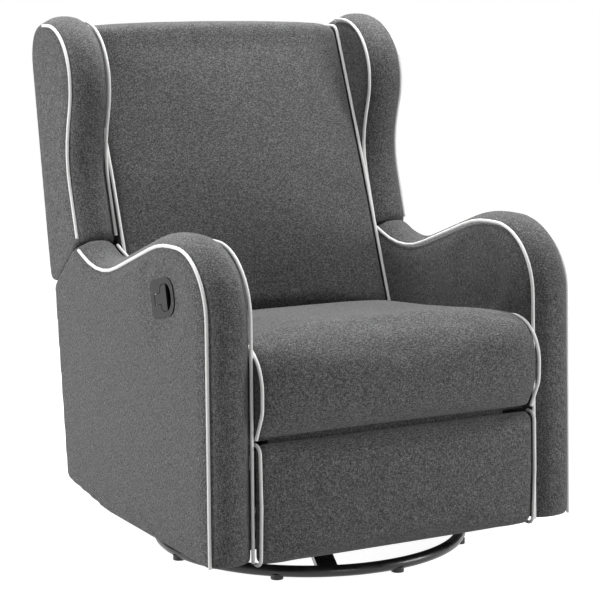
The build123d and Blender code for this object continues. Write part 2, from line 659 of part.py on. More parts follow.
# Seat frame of wooden rails, with sinuous springs clipped across it
side_rail = block(
    SEAT_RAIL_INNER, ARM_INNER, SEAT_RAIL_FRONT, SEAT_RAIL_REAR, SEAT_RAIL_BOTTOM, SEAT_RAIL_TOP
)
save("seat_side_rails", both_sides(side_rail))
rail_thickness = SEAT_RAIL_THICKNESS
front_rail_rear = SEAT_RAIL_FRONT + rail_thickness
rear_rail_front = SEAT_RAIL_REAR - rail_thickness
front_rail = block(
    -SEAT_RAIL_INNER, SEAT_RAIL_INNER, SEAT_RAIL_FRONT, front_rail_rear, SEAT_RAIL_BOTTOM, SEAT_RAIL_TOP
)
apron_half = GUIDE_LINK_INNER - FRONT_RAIL_SIDE_GAP
apron_bottom = SEAT_RAIL_BOTTOM - FRONT_RAIL_DROP
front_rail += block(-apron_half, apron_half, SEAT_RAIL_FRONT, front_rail_rear, apron_bottom, SEAT_RAIL_BOTTOM)
rear_rail = block(-PLATE_INNER, PLATE_INNER, rear_rail_front, SEAT_RAIL_REAR, SEAT_RAIL_BOTTOM, SEAT_RAIL_TOP)
save("seat_cross_rails", group([front_rail, rear_rail]))

spring_height = SEAT_RAIL_TOP + SPRING_WIRE / 2
spring_start = SEAT_RAIL_FRONT + rail_thickness / 2
spring_end = SEAT_RAIL_REAR - rail_thickness / 2
spring_pitch = (spring_end - spring_start) / SPRING_TURNS
spring_spacing = (2 * (SEAT_RAIL_INNER - SPRING_SIDE_GAP) - SPRING_WIDTH) / (SPRING_COUNT - 1)
springs = []
clips = []
for number in range(SPRING_COUNT):
    spring_x = spring_spacing * (number - (SPRING_COUNT - 1) / 2)
    route = []
    for turn in range(SPRING_TURNS + 1):
        swing = SPRING_WIDTH / 2 if turn % 2 else -SPRING_WIDTH / 2
        y = FRONT_Y + spring_start + turn * spring_pitch
        route.append((spring_x - swing, y, spring_height))
        route.append((spring_x + swing, y, spring_height))
    wire_path = FilletPolyline(*route, radius=spring_pitch * 0.49)
    wire_section = Plane(origin=wire_path @ 0, z_dir=wire_path % 0) * Circle(SPRING_WIRE / 2)
    springs.append(sweep(wire_section, path=wire_path))
    clip_top = SEAT_RAIL_TOP + SPRING_WIRE + CLIP_THICKNESS
    for rail_from, rail_to in ((SEAT_RAIL_FRONT, front_rail_rear), (rear_rail_front, SEAT_RAIL_REAR)):
        low_x = spring_x - CLIP_WIDTH / 2
        high_x = spring_x + CLIP_WIDTH / 2
        middle = (rail_from + rail_to) / 2
        clip = block(low_x, high_x, rail_from + CLIP_MARGIN, rail_to - CLIP_MARGIN, SEAT_RAIL_TOP, clip_top)
        throat = SPRING_WIRE / 2 + FRAME_CLEARANCE
        clip_inside = clip_top - CLIP_THICKNESS
        clip -= block(low_x, high_x, middle - throat, middle + throat, SEAT_RAIL_TOP, clip_inside)
        clips.append(clip)
save("seat_springs", group(springs))
save("spring_clips", group(clips))

# Seat cushion, with a waterfall front that drops over the front rail
lip_rear = SEAT_RAIL_FRONT - SOFT_CLEARANCE
seat_points, seat_radii = split_outline([
    (-SEAT_LIP_REACH, SEAT_LIP_HEIGHT, 8.0),
    (lip_rear, SEAT_LIP_HEIGHT, 4.0),
    (lip_rear, SEAT_BASE, 4.0),
    (SEAT_REAR_DEPTH, SEAT_BASE, 12.0),
    (SEAT_REAR_DEPTH, SEAT_REAR_HEIGHT, 30.0),
    (-SEAT_FRONT_REACH, SEAT_FRONT_HEIGHT, SEAT_FRONT_RADIUS),
    (-SEAT_FRONT_REACH, SEAT_LIP_HEIGHT + SEAT_LIP_RISE, SEAT_LIP_RADIUS),
])
seat_swells = [
    (-SEAT_LIP_CROWN, 0.0),
    (0.0, 0.0),
    (0.0, 0.0),
    (0.0, 0.0),
    (0.0, SEAT_CROWN),
    (-SEAT_FRONT_CROWN, SEAT_CROWN),
    (-SEAT_FRONT_CROWN, 0.0),
]
seat_piped = list(range(4, 7))
seat_cushion = cushion_form(seat_points, seat_radii, seat_swells, seat_piped, SEAT_HALF, FULL_CROWN)
save("seat_cushion", seat_cushion)
seat_piping = piping(seat_points, seat_radii, seat_piped, SEAT_HALF - PIPING_INSET)
save("seat_piping", both_sides(seat_piping))

# Arms: a padded cover over a frame of boards, with piping on both edges of the band
arm_points, arm_radii = split_outline([
    (0.0, ARM_BOTTOM, ARM_CORNER_RADIUS),
    (ARM_KICK_DEPTH, ARM_BOTTOM, ARM_KICK_RADIUS),
    (ARM_HEEL_DEPTH, ARM_HEEL_HEIGHT, ARM_CORNER_RADIUS),
    (ARM_REAR_DEPTH, ARM_REAR_HEIGHT, ARM_CORNER_RADIUS),
    (ARM_TAIL_DEPTH, ARM_TAIL_HEIGHT, ARM_CORNER_RADIUS),
    (ARM_DIP_DEPTH, ARM_DIP_HEIGHT, ARM_DIP_RADIUS),
    (ARM_CREST_DEPTH, ARM_TOP, ARM_CREST_RADIUS),
    (0.0, ARM_TOP, ARM_FRONT_RADIUS),
])
arm_piped = list(range(4, 8))
arm_cover = panel_form(arm_points, arm_radii, arm_piped, ARM_CROWN, ARM_INNER, ARM_OUTER)
below_arm = 2 * ARM_PADDING
pocket_shifts = [below_arm, below_arm] + [-ARM_PADDING] * 6
pocket_points, pocket_radii = move_edges(arm_points, arm_radii, pocket_shifts)
pocket = side_plate(pocket_points, pocket_radii, FRAME_INNER, FRAME_OUTER)
arm_cover -= pocket

frame_shifts = [0.0, 0.0] + [-ARM_PADDING - FRAME_CLEARANCE] * 6
frame_points, frame_radii = move_edges(arm_points, arm_radii, frame_shifts)
frame_low = FRAME_INNER + FRAME_CLEARANCE
frame_high = FRAME_OUTER - FRAME_CLEARANCE
frame_blank = side_plate(frame_points, frame_radii, frame_low, frame_high)
hollow_shifts = [-ARM_SPACER, -ARM_SPACER] + [-ARM_PADDING - FRAME_CLEARANCE - ARM_SPACER] * 6
hollow_points, hollow_radii = move_edges(arm_points, arm_radii, hollow_shifts)
hollow = side_plate(hollow_points, hollow_radii, frame_low + ARM_INNER_BOARD, frame_high - ARM_OUTER_BOARD)
arm_frame = frame_blank - hollow
save("arm_frame_left", arm_frame)
save("arm_cover_left", arm_cover)
arm_piping = [
    piping(arm_points, arm_radii, arm_piped, ARM_OUTER - PIPING_INSET),
    piping(arm_points, arm_radii, arm_piped, ARM_INNER + PIPING_INSET),
]
save("arm_piping", group([both_sides(line) for line in arm_piping]))

# Latch in the outer face of the right arm: local X runs to the front, local Y up and local Z outward
tilt = math.radians(LATCH_TILT)
latch_plane = Plane(
    origin=(-ARM_OUTER, FRONT_Y + LATCH_DEPTH, LATCH_HEIGHT),
    x_dir=(0, -math.cos(tilt), math.sin(tilt)),
    z_dir=(-1, 0, 0),
)


def latch_block(rear, front, low, high, inner, outer):
    """A block in the latch's own directions."""
    size = Box(front - rear, high - low, outer - inner)
    return latch_plane * Pos((rear + front) / 2, (low + high) / 2, (inner + outer) / 2) * size


def latch_round(length, tall, corner, front_shift, inner, outer):
    """A block with rounded corners in the latch's own directions."""
    face = Pos(front_shift, 0, inner) * RectangleRounded(length, tall, corner)
    return latch_plane * extrude(face, amount=outer - inner)


def latch_shape(rear, front, tall, rear_corner, front_corner, inner, outer):
    """A block whose rear corners and front corners are rounded by their own radii."""
    outline = FilletPolyline(
        (rear, -tall / 2),
        (front, -tall / 2),
        (front, tall / 2),
        (rear, tall / 2),
        radius=[rear_corner, front_corner, front_corner, rear_corner],
        close=True,
    )
    face = Pos(0, 0, inner) * make_face(outline)
    return latch_plane * extrude(face, amount=outer - inner)


def latch_across(forward, out, low, high, radius):
    """A round pin along the latch's hinge direction."""
    pin = Pos(forward, (low + high) / 2, out) * Rot(90, 0, 0) * Cylinder(radius, high - low)
    return latch_plane * pin


cup_front = LATCH_WINDOW_FRONT + LATCH_WALL
cup_rear = LATCH_TAB_REAR + 2 * LATCH_WALL
cup_tall = LATCH_WINDOW_TALL / 2 + LATCH_WALL
cup_length = cup_front + cup_rear
cup_middle = (cup_front - cup_rear) / 2
flange_half = LATCH_LENGTH / 2
housing = latch_shape(
    -flange_half, flange_half, LATCH_TALL, LATCH_REAR_CORNER, LATCH_FRONT_CORNER, 0.0, LATCH_FLANGE
)
housing += latch_round(cup_length, 2 * cup_tall, LATCH_WALL * 3, cup_middle, -LATCH_CUP_DEPTH, 0.0)
housing -= latch_round(
    cup_length - 2 * LATCH_WALL,
    2 * cup_tall - 2 * LATCH_WALL,
    LATCH_WALL * 2,
    cup_middle,
    -LATCH_CUP_DEPTH + LATCH_WALL,
    0.0,
)
housing -= latch_shape(
    -LATCH_WINDOW_REAR,
    LATCH_WINDOW_FRONT,
    LATCH_WINDOW_TALL,
    LATCH_WINDOW_REAR_CORNER,
    LATCH_WINDOW_FRONT_CORNER,
    0.0,
    LATCH_FLANGE,
)
housing -= latch_block(-LATCH_TAB_REAR, 0.0, -LATCH_TAB_TALL / 2, LATCH_TAB_TALL / 2, 0.0, LATCH_FLANGE)

lever_face = LATCH_FLANGE - LATCH_LEVER_GAP / 2
lever_back = lever_face - LATCH_LEVER_THICKNESS
lever_front = LATCH_WINDOW_FRONT - LATCH_FINGER_SLOT
lever_rear = -LATCH_WINDOW_REAR + LATCH_LEVER_GAP
paddle_tall = LATCH_WINDOW_TALL - 2 * LATCH_LEVER_GAP
tab_half = LATCH_TAB_TALL / 2 - LATCH_LEVER_GAP
lever_axis = -LATCH_TAB_REAR + LATCH_AXIS_BACK
axis_out = (lever_face + lever_back) / 2
latch_pin_radius = LATCH_PIN_DIAMETER / 2
paddle_corner = LATCH_WINDOW_REAR_CORNER - LATCH_LEVER_GAP
lever = latch_shape(
    lever_rear, lever_front, paddle_tall, paddle_corner, LATCH_WALL, lever_back, lever_face
)
lever += latch_block(-LATCH_TAB_REAR + LATCH_LEVER_GAP, 0.0, -tab_half, tab_half, lever_back, lever_face)
lug_from = tab_half + LATCH_LUG_GAP
lug_to = lug_from + LATCH_LUG
lever -= latch_across(lever_axis, axis_out, -lug_to, lug_to, latch_pin_radius + RUNNING_CLEARANCE)
save("latch_lever", lever)
lug_half = latch_pin_radius + LATCH_WALL
for low, high in ((lug_from, lug_to), (-lug_to, -lug_from)):
    lug_inner = axis_out - lug_half
    housing += latch_block(lever_axis - lug_half, lever_axis + lug_half, low, high, lug_inner, LATCH_WALL / 2)
housing -= latch_across(lever_axis, axis_out, -lug_to, lug_to, latch_pin_radius + SNUG_CLEARANCE)
save("latch_pin", latch_across(lever_axis, axis_out, -lug_to, lug_to, latch_pin_radius))

cup_hole = latch_round(
    cup_length + 2 * FRAME_CLEARANCE,
    2 * cup_tall + 2 * FRAME_CLEARANCE,
    LATCH_WALL * 3,
    cup_middle,
    -LATCH_CUP_DEPTH - FRAME_CLEARANCE,
    0.0,
)
screw_forward = LATCH_LENGTH / 2 - LATCH_SCREW_INSET
screw_up = LATCH_TALL / 2 - LATCH_SCREW_INSET - LATCH_FRONT_CORNER / 2
latch_screws = []
screw_holes = []
for forward in (-screw_forward, screw_forward):
    for up in (-screw_up, screw_up):
        place = latch_plane * Pos(forward, up, LATCH_FLANGE - LATCH_SCREW_LENGTH / 2)
        latch_screws.append(place * Cylinder(LATCH_SCREW_DIAMETER / 2, LATCH_SCREW_LENGTH))
        screw_holes.append(place * Cylinder(LATCH_SCREW_DIAMETER / 2 + SNUG_CLEARANCE, LATCH_SCREW_LENGTH))
save("latch_screws", group(latch_screws))
save("latch_housing", housing - screw_holes)

# Release cable: down inside the right arm from the latch, then inward to the release arm
cup_floor = latch_plane * Pos(cup_middle, -cup_tall, 0)
cable_depth = RELEASE_PIVOT_DEPTH
cable_x = -(frame_high - ARM_OUTER_BOARD - CABLE_SIDE_GAP)
cable_drop = latch_plane.to_local_coords(Vector(cable_x, FRONT_Y + cable_depth, LATCH_HEIGHT))
cable_top = LATCH_HEIGHT - (cup_tall + cable_drop.Y * math.cos(tilt)) / math.cos(tilt)
cable_top = cable_top - CABLE_DIAMETER * math.tan(tilt)
cable_end = -(release_outer + SOFT_CLEARANCE)
cable_route = [
    (cable_x, FRONT_Y + cable_depth, cable_top),
    (cable_x, FRONT_Y + cable_depth, CABLE_EXIT_HEIGHT),
    (cable_end, FRONT_Y + cable_depth, CABLE_EXIT_HEIGHT),
]
cable_path = FilletPolyline(*cable_route, radius=CABLE_BEND_RADIUS)
cable_section = Plane(origin=cable_path @ 0, z_dir=cable_path % 0) * Circle(CABLE_DIAMETER / 2)
save("release_cable", sweep(cable_section, path=cable_path))
cable_hole_radius = CABLE_DIAMETER / 2 + CABLE_HOLE_CLEARANCE
cable_hole = cross_pin(cable_x, cable_end, (cable_depth, CABLE_EXIT_HEIGHT), cable_hole_radius)
cable_slot = block(cable_x - cable_hole_radius, cable_x + CABLE_BEND_RADIUS, cable_depth - cable_hole_radius,
                   cable_depth + cable_hole_radius, CABLE_EXIT_HEIGHT - cable_hole_radius,
                   CABLE_EXIT_HEIGHT + CABLE_BEND_RADIUS)
right_frame = other_side(arm_frame) - cup_hole - screw_holes - cable_hole - cable_slot
save("arm_frame_right", right_frame)
save("arm_cover_right", other_side(arm_cover) - cup_hole - screw_holes - cable_hole)

# Rear panel that closes the seat box between the arms
arm_rear_slope = (ARM_REAR_DEPTH - ARM_HEEL_DEPTH) / (ARM_REAR_HEIGHT - ARM_HEEL_HEIGHT)
panel_rear_low = ARM_HEEL_DEPTH + (REAR_PANEL_BOTTOM - ARM_HEEL_HEIGHT) * arm_rear_slope - REAR_PANEL_SETBACK
panel_rear_high = ARM_HEEL_DEPTH + (REAR_PANEL_TOP - ARM_HEEL_HEIGHT) * arm_rear_slope - REAR_PANEL_SETBACK
rear_panel_points = [
    (panel_rear_low - REAR_PANEL_THICKNESS, REAR_PANEL_BOTTOM),
    (panel_rear_low, REAR_PANEL_BOTTOM),
    (panel_rear_high, REAR_PANEL_TOP),
    (panel_rear_high - REAR_PANEL_THICKNESS, REAR_PANEL_TOP),
]
save("rear_panel", side_plate(rear_panel_points, [0, 0, 0, 0], -ARM_INNER, ARM_INNER))


def leaning_bar(x_from, x_to, front_offset, rear_offset, low, high):
    """A bar that leans with the back, placed by its distances in front of the back plane."""
    corners = [
        (back_plane_depth(low) - front_offset, low),
        (back_plane_depth(low) - rear_offset, low),
        (back_plane_depth(high) - rear_offset, high),
        (back_plane_depth(high) - front_offset, high),
    ]
    return side_plate(corners, [0, 0, 0, 0], x_from, x_to)


# Back frame: posts on steel brackets, rails between them, and webbing
bracket_top = BACK_FRAME_BOTTOM + 2 * BACK_RAIL_HEIGHT
post_front = BACK_POST_DEPTH - 2.0
bracket_neck = BACK_CUSHION_BOTTOM - BACK_BRACKET_BOSS / 2
boss_round = BACK_BRACKET_BOSS * 0.8
bracket_points, bracket_radii = split_outline([
    (BACK_PIVOT_DEPTH - BACK_BRACKET_BOSS, BACK_PIVOT_HEIGHT - BACK_BRACKET_BOSS, boss_round),
    (BACK_PIVOT_DEPTH + BACK_BRACKET_BOSS, BACK_PIVOT_HEIGHT - BACK_BRACKET_BOSS, boss_round),
    (back_plane_depth(BACK_FRAME_BOTTOM) - 2.0, BACK_FRAME_BOTTOM, 8.0),
    (back_plane_depth(bracket_top) - 2.0, bracket_top, 8.0),
    (back_plane_depth(bracket_top) - post_front, bracket_top, 8.0),
    (back_plane_depth(bracket_neck) - post_front, bracket_neck, 8.0),
    (BACK_PIVOT_DEPTH - BACK_BRACKET_BOSS, BACK_PIVOT_HEIGHT + BACK_BRACKET_BOSS, boss_round),
])
back_bracket = side_plate(bracket_points, bracket_radii, BACK_BRACKET_INNER, BACK_BRACKET_OUTER)
back_bore = back_pin_radius + RUNNING_CLEARANCE
back_bracket -= cross_pin(BACK_BRACKET_INNER, BACK_BRACKET_OUTER, back_pivot, back_bore)
save("back_brackets", both_sides(back_bracket))
back_post = leaning_bar(
    BACK_BRACKET_OUTER, WING_INNER, BACK_POST_DEPTH, 0.0, BACK_FRAME_BOTTOM, BACK_FRAME_TOP
)
save("back_posts", both_sides(back_post))
rail_rear_offset = BACK_POST_DEPTH - BACK_RAIL_DEPTH
rails = []
for low in (bracket_top, BACK_MIDDLE_RAIL_HEIGHT, BACK_FRAME_TOP - BACK_RAIL_HEIGHT):
    high = low + BACK_RAIL_HEIGHT
    rails.append(
        leaning_bar(-BACK_BRACKET_OUTER, BACK_BRACKET_OUTER, BACK_POST_DEPTH, rail_rear_offset, low, high)
    )
save("back_rails", group(rails))
webbing = []
strap_spacing = 2 * BACK_BRACKET_OUTER / (WEBBING_COUNT + 1)
web_front = BACK_POST_DEPTH + WEBBING_THICKNESS
for number in range(WEBBING_COUNT):
    strap_x = strap_spacing * (number - (WEBBING_COUNT - 1) / 2)
    webbing.append(
        leaning_bar(
            strap_x - WEBBING_WIDTH / 2,
            strap_x + WEBBING_WIDTH / 2,
            web_front,
            BACK_POST_DEPTH,
            bracket_top,
            BACK_FRAME_TOP,
        )
    )
save("back_webbing", group(webbing))

# Outside back: a flat panel, full width above the arms and narrow between them
lean = math.radians(BACK_LEAN)
panel_bottom = OUTSIDE_BACK_BOTTOM
panel_plane = Plane(
    origin=(0, FRONT_Y + back_plane_depth(panel_bottom), panel_bottom),
    x_dir=(-1, 0, 0),
    z_dir=(0, math.cos(lean), -math.sin(lean)),
)
shoulder = (WING_HEEL_HEIGHT + WING_HEEL_RADIUS - panel_bottom) / math.cos(lean)
panel_length = (OUTSIDE_BACK_TOP - panel_bottom) / math.cos(lean)
narrow = SEAT_HALF
wide = WING_OUTER - OUTSIDE_BACK_INSET
outside_outline = FilletPolyline(
    (-narrow, 0),
    (narrow, 0),
    (narrow, shoulder),
    (wide, shoulder),
    (wide, panel_length - OUTSIDE_BACK_SLOPE),
    (WING_INNER, panel_length),
    (-WING_INNER, panel_length),
    (-wide, panel_length - OUTSIDE_BACK_SLOPE),
    (-wide, shoulder),
    (-narrow, shoulder),
    radius=[6.0, 6.0, 6.0, 6.0, 20.0, 20.0, 20.0, 20.0, 6.0, 6.0],
    close=True,
)
outside_back = panel_plane * extrude(make_face(outside_outline), amount=OUTSIDE_BACK_THICKNESS)
save("outside_back", outside_back)

# Back cushion, which wraps over the top of the frame
cushion_rear = web_front + SOFT_CLEARANCE
wrap_height = BACK_FRAME_TOP + SOFT_CLEARANCE
middle_height = (BACK_CUSHION_BOTTOM + BACK_CUSHION_TOP) / 2
cushion_foot = back_plane_depth(BACK_CUSHION_BOTTOM) - BACK_CUSHION_BOTTOM_THICKNESS
cushion_head = back_plane_depth(BACK_CUSHION_TOP) - BACK_CUSHION_TOP_THICKNESS
middle_depth = (cushion_foot + cushion_head) / 2
back_points, back_radii = split_outline([
    (cushion_foot, BACK_CUSHION_BOTTOM, 30.0),
    (back_plane_depth(BACK_CUSHION_BOTTOM) - cushion_rear, BACK_CUSHION_BOTTOM, 10.0),
    (back_plane_depth(wrap_height) - cushion_rear, wrap_height, 2.0),
    (back_plane_depth(wrap_height) - SOFT_CLEARANCE, wrap_height, 2.0),
    (back_plane_depth(BACK_CUSHION_TOP) - SOFT_CLEARANCE, BACK_CUSHION_TOP, 16.0),
    (cushion_head, BACK_CUSHION_TOP, 24.0),
    (middle_depth - BACK_FACE_BOW, middle_height, BACK_FACE_RADIUS),
])
back_swells = [
    (0.0, 0.0),
    (0.0, 0.0),
    (0.0, 0.0),
    (0.0, 0.0),
    (0.0, BACK_CUSHION_TOP_CROWN),
    (-BACK_CUSHION_CROWN, BACK_CUSHION_TOP_CROWN),
    (-BACK_CUSHION_CROWN, 0.0),
]
back_piped = list(range(4, 7))
back_cushion = cushion_form(back_points, back_radii, back_swells, back_piped, BACK_HALF, ROUND_CROWN)
save("back_cushion", back_cushion)
back_piping = piping(back_points, back_radii, back_piped, BACK_HALF - PIPING_INSET)
save("back_piping", both_sides(back_piping))

# Wings, which stand on the back posts and clear the arms' tails
tail_slope = (ARM_TAIL_HEIGHT - ARM_REAR_HEIGHT) / (ARM_REAR_DEPTH - ARM_TAIL_DEPTH)
gap_up = WING_ARM_GAP * math.hypot(1, tail_slope)
wing_bottom_depth = WING_HEEL_DEPTH - WING_HEEL_FLAT
wing_bottom_height = ARM_TAIL_HEIGHT + gap_up - tail_slope * (wing_bottom_depth - ARM_TAIL_DEPTH)
wing_points, wing_radii = split_outline([
    (ARM_TAIL_DEPTH, ARM_TAIL_HEIGHT + gap_up, 6.0),
    (wing_bottom_depth, wing_bottom_height, WING_BOTTOM_RADIUS),
    (WING_HEEL_DEPTH, WING_HEEL_HEIGHT, WING_HEEL_RADIUS),
    (back_plane_depth(WING_TOP), WING_TOP, WING_TOP_REAR_RADIUS),
    (WING_FRONT_DEPTH, WING_TOP, WING_TOP_RADIUS),
    (WING_FRONT_DEPTH, WING_BULGE_HEIGHT, WING_BULGE_RADIUS),
    (WING_RECESS_DEPTH, WING_RECESS_HEIGHT, WING_RECESS_RADIUS),
])
wing_piped = list(range(3, 7))
wing_rear_edge = [2]
wing = panel_form(
    wing_points, wing_radii, wing_piped, WING_CROWN, WING_INNER, WING_OUTER, wing_rear_edge, WING_REAR_EASE
)
save("wing_left", wing)
save("wing_right", other_side(wing))
wing_piping = [
    piping(wing_points, wing_radii, wing_piped, WING_OUTER - PIPING_INSET),
    piping(wing_points, wing_radii, wing_piped, WING_INNER + PIPING_INSET),
]
save("wing_piping", group([both_sides(line) for line in wing_piping]))


def along(start, angle, length):
    """The place at a length from another, at an angle above straight forward."""
    turn = math.radians(angle)
    return (start[0] - length * math.cos(turn), start[1] + length * math.sin(turn))


# Footrest linkage at rest: rear links hang, and front and guide links lead up to the panel's brackets
guide_angle = REAR_LINK_REST_ANGLE + GUIDE_SKEW
front_pivot = along(link_pivot, REAR_LINK_REST_ANGLE, REAR_LINK_LENGTH)
guide_pivot = along(front_pivot, guide_angle, GUIDE_OFFSET)
panel_pivot = along(front_pivot, FRONT_LINK_REST_ANGLE, FRONT_LINK_LENGTH)
panel_guide = along(panel_pivot, guide_angle, GUIDE_OFFSET)
running_radius = LINK_PIN_RADIUS + RUNNING_CLEARANCE
snug_radius = LINK_PIN_RADIUS + SNUG_CLEARANCE

rear_link = strap(link_pivot, front_pivot, LINK_WIDTH, BRACKET_INNER, REAR_LINK_OUTER)
rear_link += strap(front_pivot, guide_pivot, LINK_WIDTH, BRACKET_INNER, REAR_LINK_OUTER)
rear_link -= cross_pin(BRACKET_INNER, REAR_LINK_OUTER, link_pivot, running_radius)
rear_link -= cross_pin(BRACKET_INNER, REAR_LINK_OUTER, front_pivot, snug_radius)
rear_link -= cross_pin(BRACKET_INNER, REAR_LINK_OUTER, guide_pivot, snug_radius)
save("footrest_rear_links", both_sides(rear_link))
tube_radius = TORQUE_TUBE_DIAMETER / 2
torque_tube = cross_pin(-BRACKET_INNER, BRACKET_INNER, link_pivot, tube_radius)
torque_tube -= cross_pin(-BRACKET_INNER, BRACKET_INNER, link_pivot, tube_radius - TORQUE_TUBE_WALL)
save("footrest_torque_tube", torque_tube)
front_link_inner = FRONT_LINK_OUTER - LINK_THICKNESS
rear_link_pins = [
    both_sides(cross_pin(front_link_inner, REAR_LINK_OUTER, front_pivot, LINK_PIN_RADIUS)),
    both_sides(cross_pin(GUIDE_LINK_INNER, REAR_LINK_OUTER, guide_pivot, LINK_PIN_RADIUS)),
]
save("footrest_link_pins", group(rear_link_pins))

front_link = strap(front_pivot, panel_pivot, LINK_WIDTH, front_link_inner, FRONT_LINK_OUTER)
front_link -= cross_pin(front_link_inner, FRONT_LINK_OUTER, front_pivot, running_radius)
front_link -= cross_pin(front_link_inner, FRONT_LINK_OUTER, panel_pivot, running_radius)
save("footrest_front_links", both_sides(front_link))
guide_link = strap(guide_pivot, panel_guide, LINK_WIDTH, GUIDE_LINK_INNER, GUIDE_LINK_OUTER)
guide_link -= cross_pin(GUIDE_LINK_INNER, GUIDE_LINK_OUTER, guide_pivot, running_radius)
guide_link -= cross_pin(GUIDE_LINK_INNER, GUIDE_LINK_OUTER, panel_guide, running_radius)
save("footrest_guide_links", both_sides(guide_link))

# Footrest panel: a board with a padded front, carried by an angle bracket at each side
board_rear = FOOTREST_BOARD_DEPTH + FOOTREST_BOARD_THICKNESS
board_half = FOOTREST_HALF - FOOTREST_BOARD_MARGIN
board = block(
    -board_half,
    board_half,
    FOOTREST_BOARD_DEPTH,
    board_rear,
    FOOTREST_BOTTOM + FOOTREST_BOARD_MARGIN,
    FOOTREST_TOP - FOOTREST_BOARD_MARGIN,
)
save("footrest_board", board)
pad_points, pad_radii = split_outline([
    (-FOOTREST_REACH, FOOTREST_BOTTOM, FOOTREST_EDGE_RADIUS),
    (FOOTREST_BOARD_DEPTH, FOOTREST_BOTTOM, 3.0),
    (FOOTREST_BOARD_DEPTH, FOOTREST_TOP, 3.0),
    (-FOOTREST_REACH, FOOTREST_TOP, FOOTREST_EDGE_RADIUS),
    (-FOOTREST_REACH - FOOTREST_FACE_BOW, (FOOTREST_BOTTOM + FOOTREST_TOP) / 2, FOOTREST_FACE_RADIUS),
])
pad_swells = [
    (-FOOTREST_CROWN * 0.6, 0.0),
    (0.0, 0.0),
    (0.0, 0.0),
    (-FOOTREST_CROWN * 0.6, 0.0),
    (-FOOTREST_CROWN, 0.0),
]
pad_piped = list(range(2, 5)) + [0]
footrest_pad = cushion_form(pad_points, pad_radii, pad_swells, pad_piped, FOOTREST_HALF, ROUND_CROWN)
save("footrest_pad", footrest_pad)
pad_piping = piping(pad_points, pad_radii, list(range(2, 6)), FOOTREST_HALF - PIPING_INSET)
save("footrest_piping", both_sides(pad_piping))

half_link = LINK_WIDTH / 2
bracket_rear = panel_pivot[0] + half_link
bracket_low = panel_guide[1] - half_link
bracket_high = panel_pivot[1] + half_link
bracket = side_plate(
    [
        (board_rear, bracket_low),
        (bracket_rear, bracket_low),
        (bracket_rear, bracket_high),
        (board_rear, bracket_high),
    ],
    [0, half_link * 0.9, half_link * 0.9, 0],
    BRACKET_INNER,
    REAR_LINK_OUTER,
)
flange_outer = REAR_LINK_OUTER + BRACKET_FLANGE
flange_rear = board_rear + PLATE_THICKNESS
bracket += block(REAR_LINK_OUTER, flange_outer, board_rear, flange_rear, bracket_low, bracket_high)
bracket -= cross_pin(BRACKET_INNER, REAR_LINK_OUTER, panel_pivot, snug_radius)
bracket -= cross_pin(BRACKET_INNER, REAR_LINK_OUTER, panel_guide, snug_radius)
save("footrest_brackets", both_sides(bracket))
panel_pins = [
    both_sides(cross_pin(front_link_inner, REAR_LINK_OUTER, panel_pivot, LINK_PIN_RADIUS)),
    both_sides(cross_pin(GUIDE_LINK_INNER, REAR_LINK_OUTER, panel_guide, LINK_PIN_RADIUS)),
]
save("footrest_panel_pins", group(panel_pins))
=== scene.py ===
import math
import bpy
from mathutils import Matrix, Vector
from mathutils.kdtree import KDTree


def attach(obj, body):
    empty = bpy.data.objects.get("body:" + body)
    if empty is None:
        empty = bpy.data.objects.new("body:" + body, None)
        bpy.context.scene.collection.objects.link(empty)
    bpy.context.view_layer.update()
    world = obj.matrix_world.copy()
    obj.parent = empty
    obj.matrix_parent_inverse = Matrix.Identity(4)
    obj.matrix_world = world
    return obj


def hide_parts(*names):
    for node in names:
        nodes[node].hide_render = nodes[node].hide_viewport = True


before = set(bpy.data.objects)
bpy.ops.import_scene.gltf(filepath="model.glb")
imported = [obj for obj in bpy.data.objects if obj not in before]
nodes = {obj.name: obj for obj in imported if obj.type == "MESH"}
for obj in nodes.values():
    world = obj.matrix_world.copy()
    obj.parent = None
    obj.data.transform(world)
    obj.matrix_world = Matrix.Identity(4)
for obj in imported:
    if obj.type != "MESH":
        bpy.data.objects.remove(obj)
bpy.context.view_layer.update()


# Base: a bent steel tube ring with flat bars welded across it, in semi-gloss black powder coat.
# Small moulded glides sit under the tube and keep it off the floor.
def new_finish(name, colour, roughness):
    """A material, its main shader, and the object coordinates that its patterns read."""
    material = bpy.data.materials.new(name)
    material.use_nodes = True
    tree = material.node_tree
    shader = tree.nodes["Principled BSDF"]
    shader.inputs["Base Color"].default_value = (*colour, 1)
    shader.inputs["Roughness"].default_value = roughness
    place = tree.nodes.new("ShaderNodeTexCoord").outputs["Object"]
    return material, tree, shader, place


def add_noise(tree, place, per_metre, detail, rough):
    """Noise whose grain is counted per metre along each axis."""
    mapping = tree.nodes.new("ShaderNodeMapping")
    mapping.inputs["Scale"].default_value = per_metre
    tree.links.new(place, mapping.inputs["Vector"])
    noise = tree.nodes.new("ShaderNodeTexNoise")
    noise.inputs["Scale"].default_value = 1.0
    noise.inputs["Detail"].default_value = detail
    noise.inputs["Roughness"].default_value = rough
    tree.links.new(mapping.outputs["Vector"], noise.inputs["Vector"])
    return noise.outputs["Fac"]


def grey(level):
    """A neutral colour, which is also how a ramp gives a roughness."""
    return (level, level, level)


def add_ramp(tree, value, stops):
    """Colours spread over a value."""
    ramp = tree.nodes.new("ShaderNodeValToRGB")
    while len(ramp.color_ramp.elements) < len(stops):
        ramp.color_ramp.elements.new(0.5)
    for element, (position, colour) in zip(ramp.color_ramp.elements, stops):
        element.position = position
        element.color = (*colour, 1)
    tree.links.new(value, ramp.inputs["Fac"])
    return ramp.outputs["Color"]


def vary(tree, shader, socket, value, stops):
    """Let a ramp over a value set one of the shader's inputs."""
    tree.links.new(add_ramp(tree, value, stops), shader.inputs[socket])


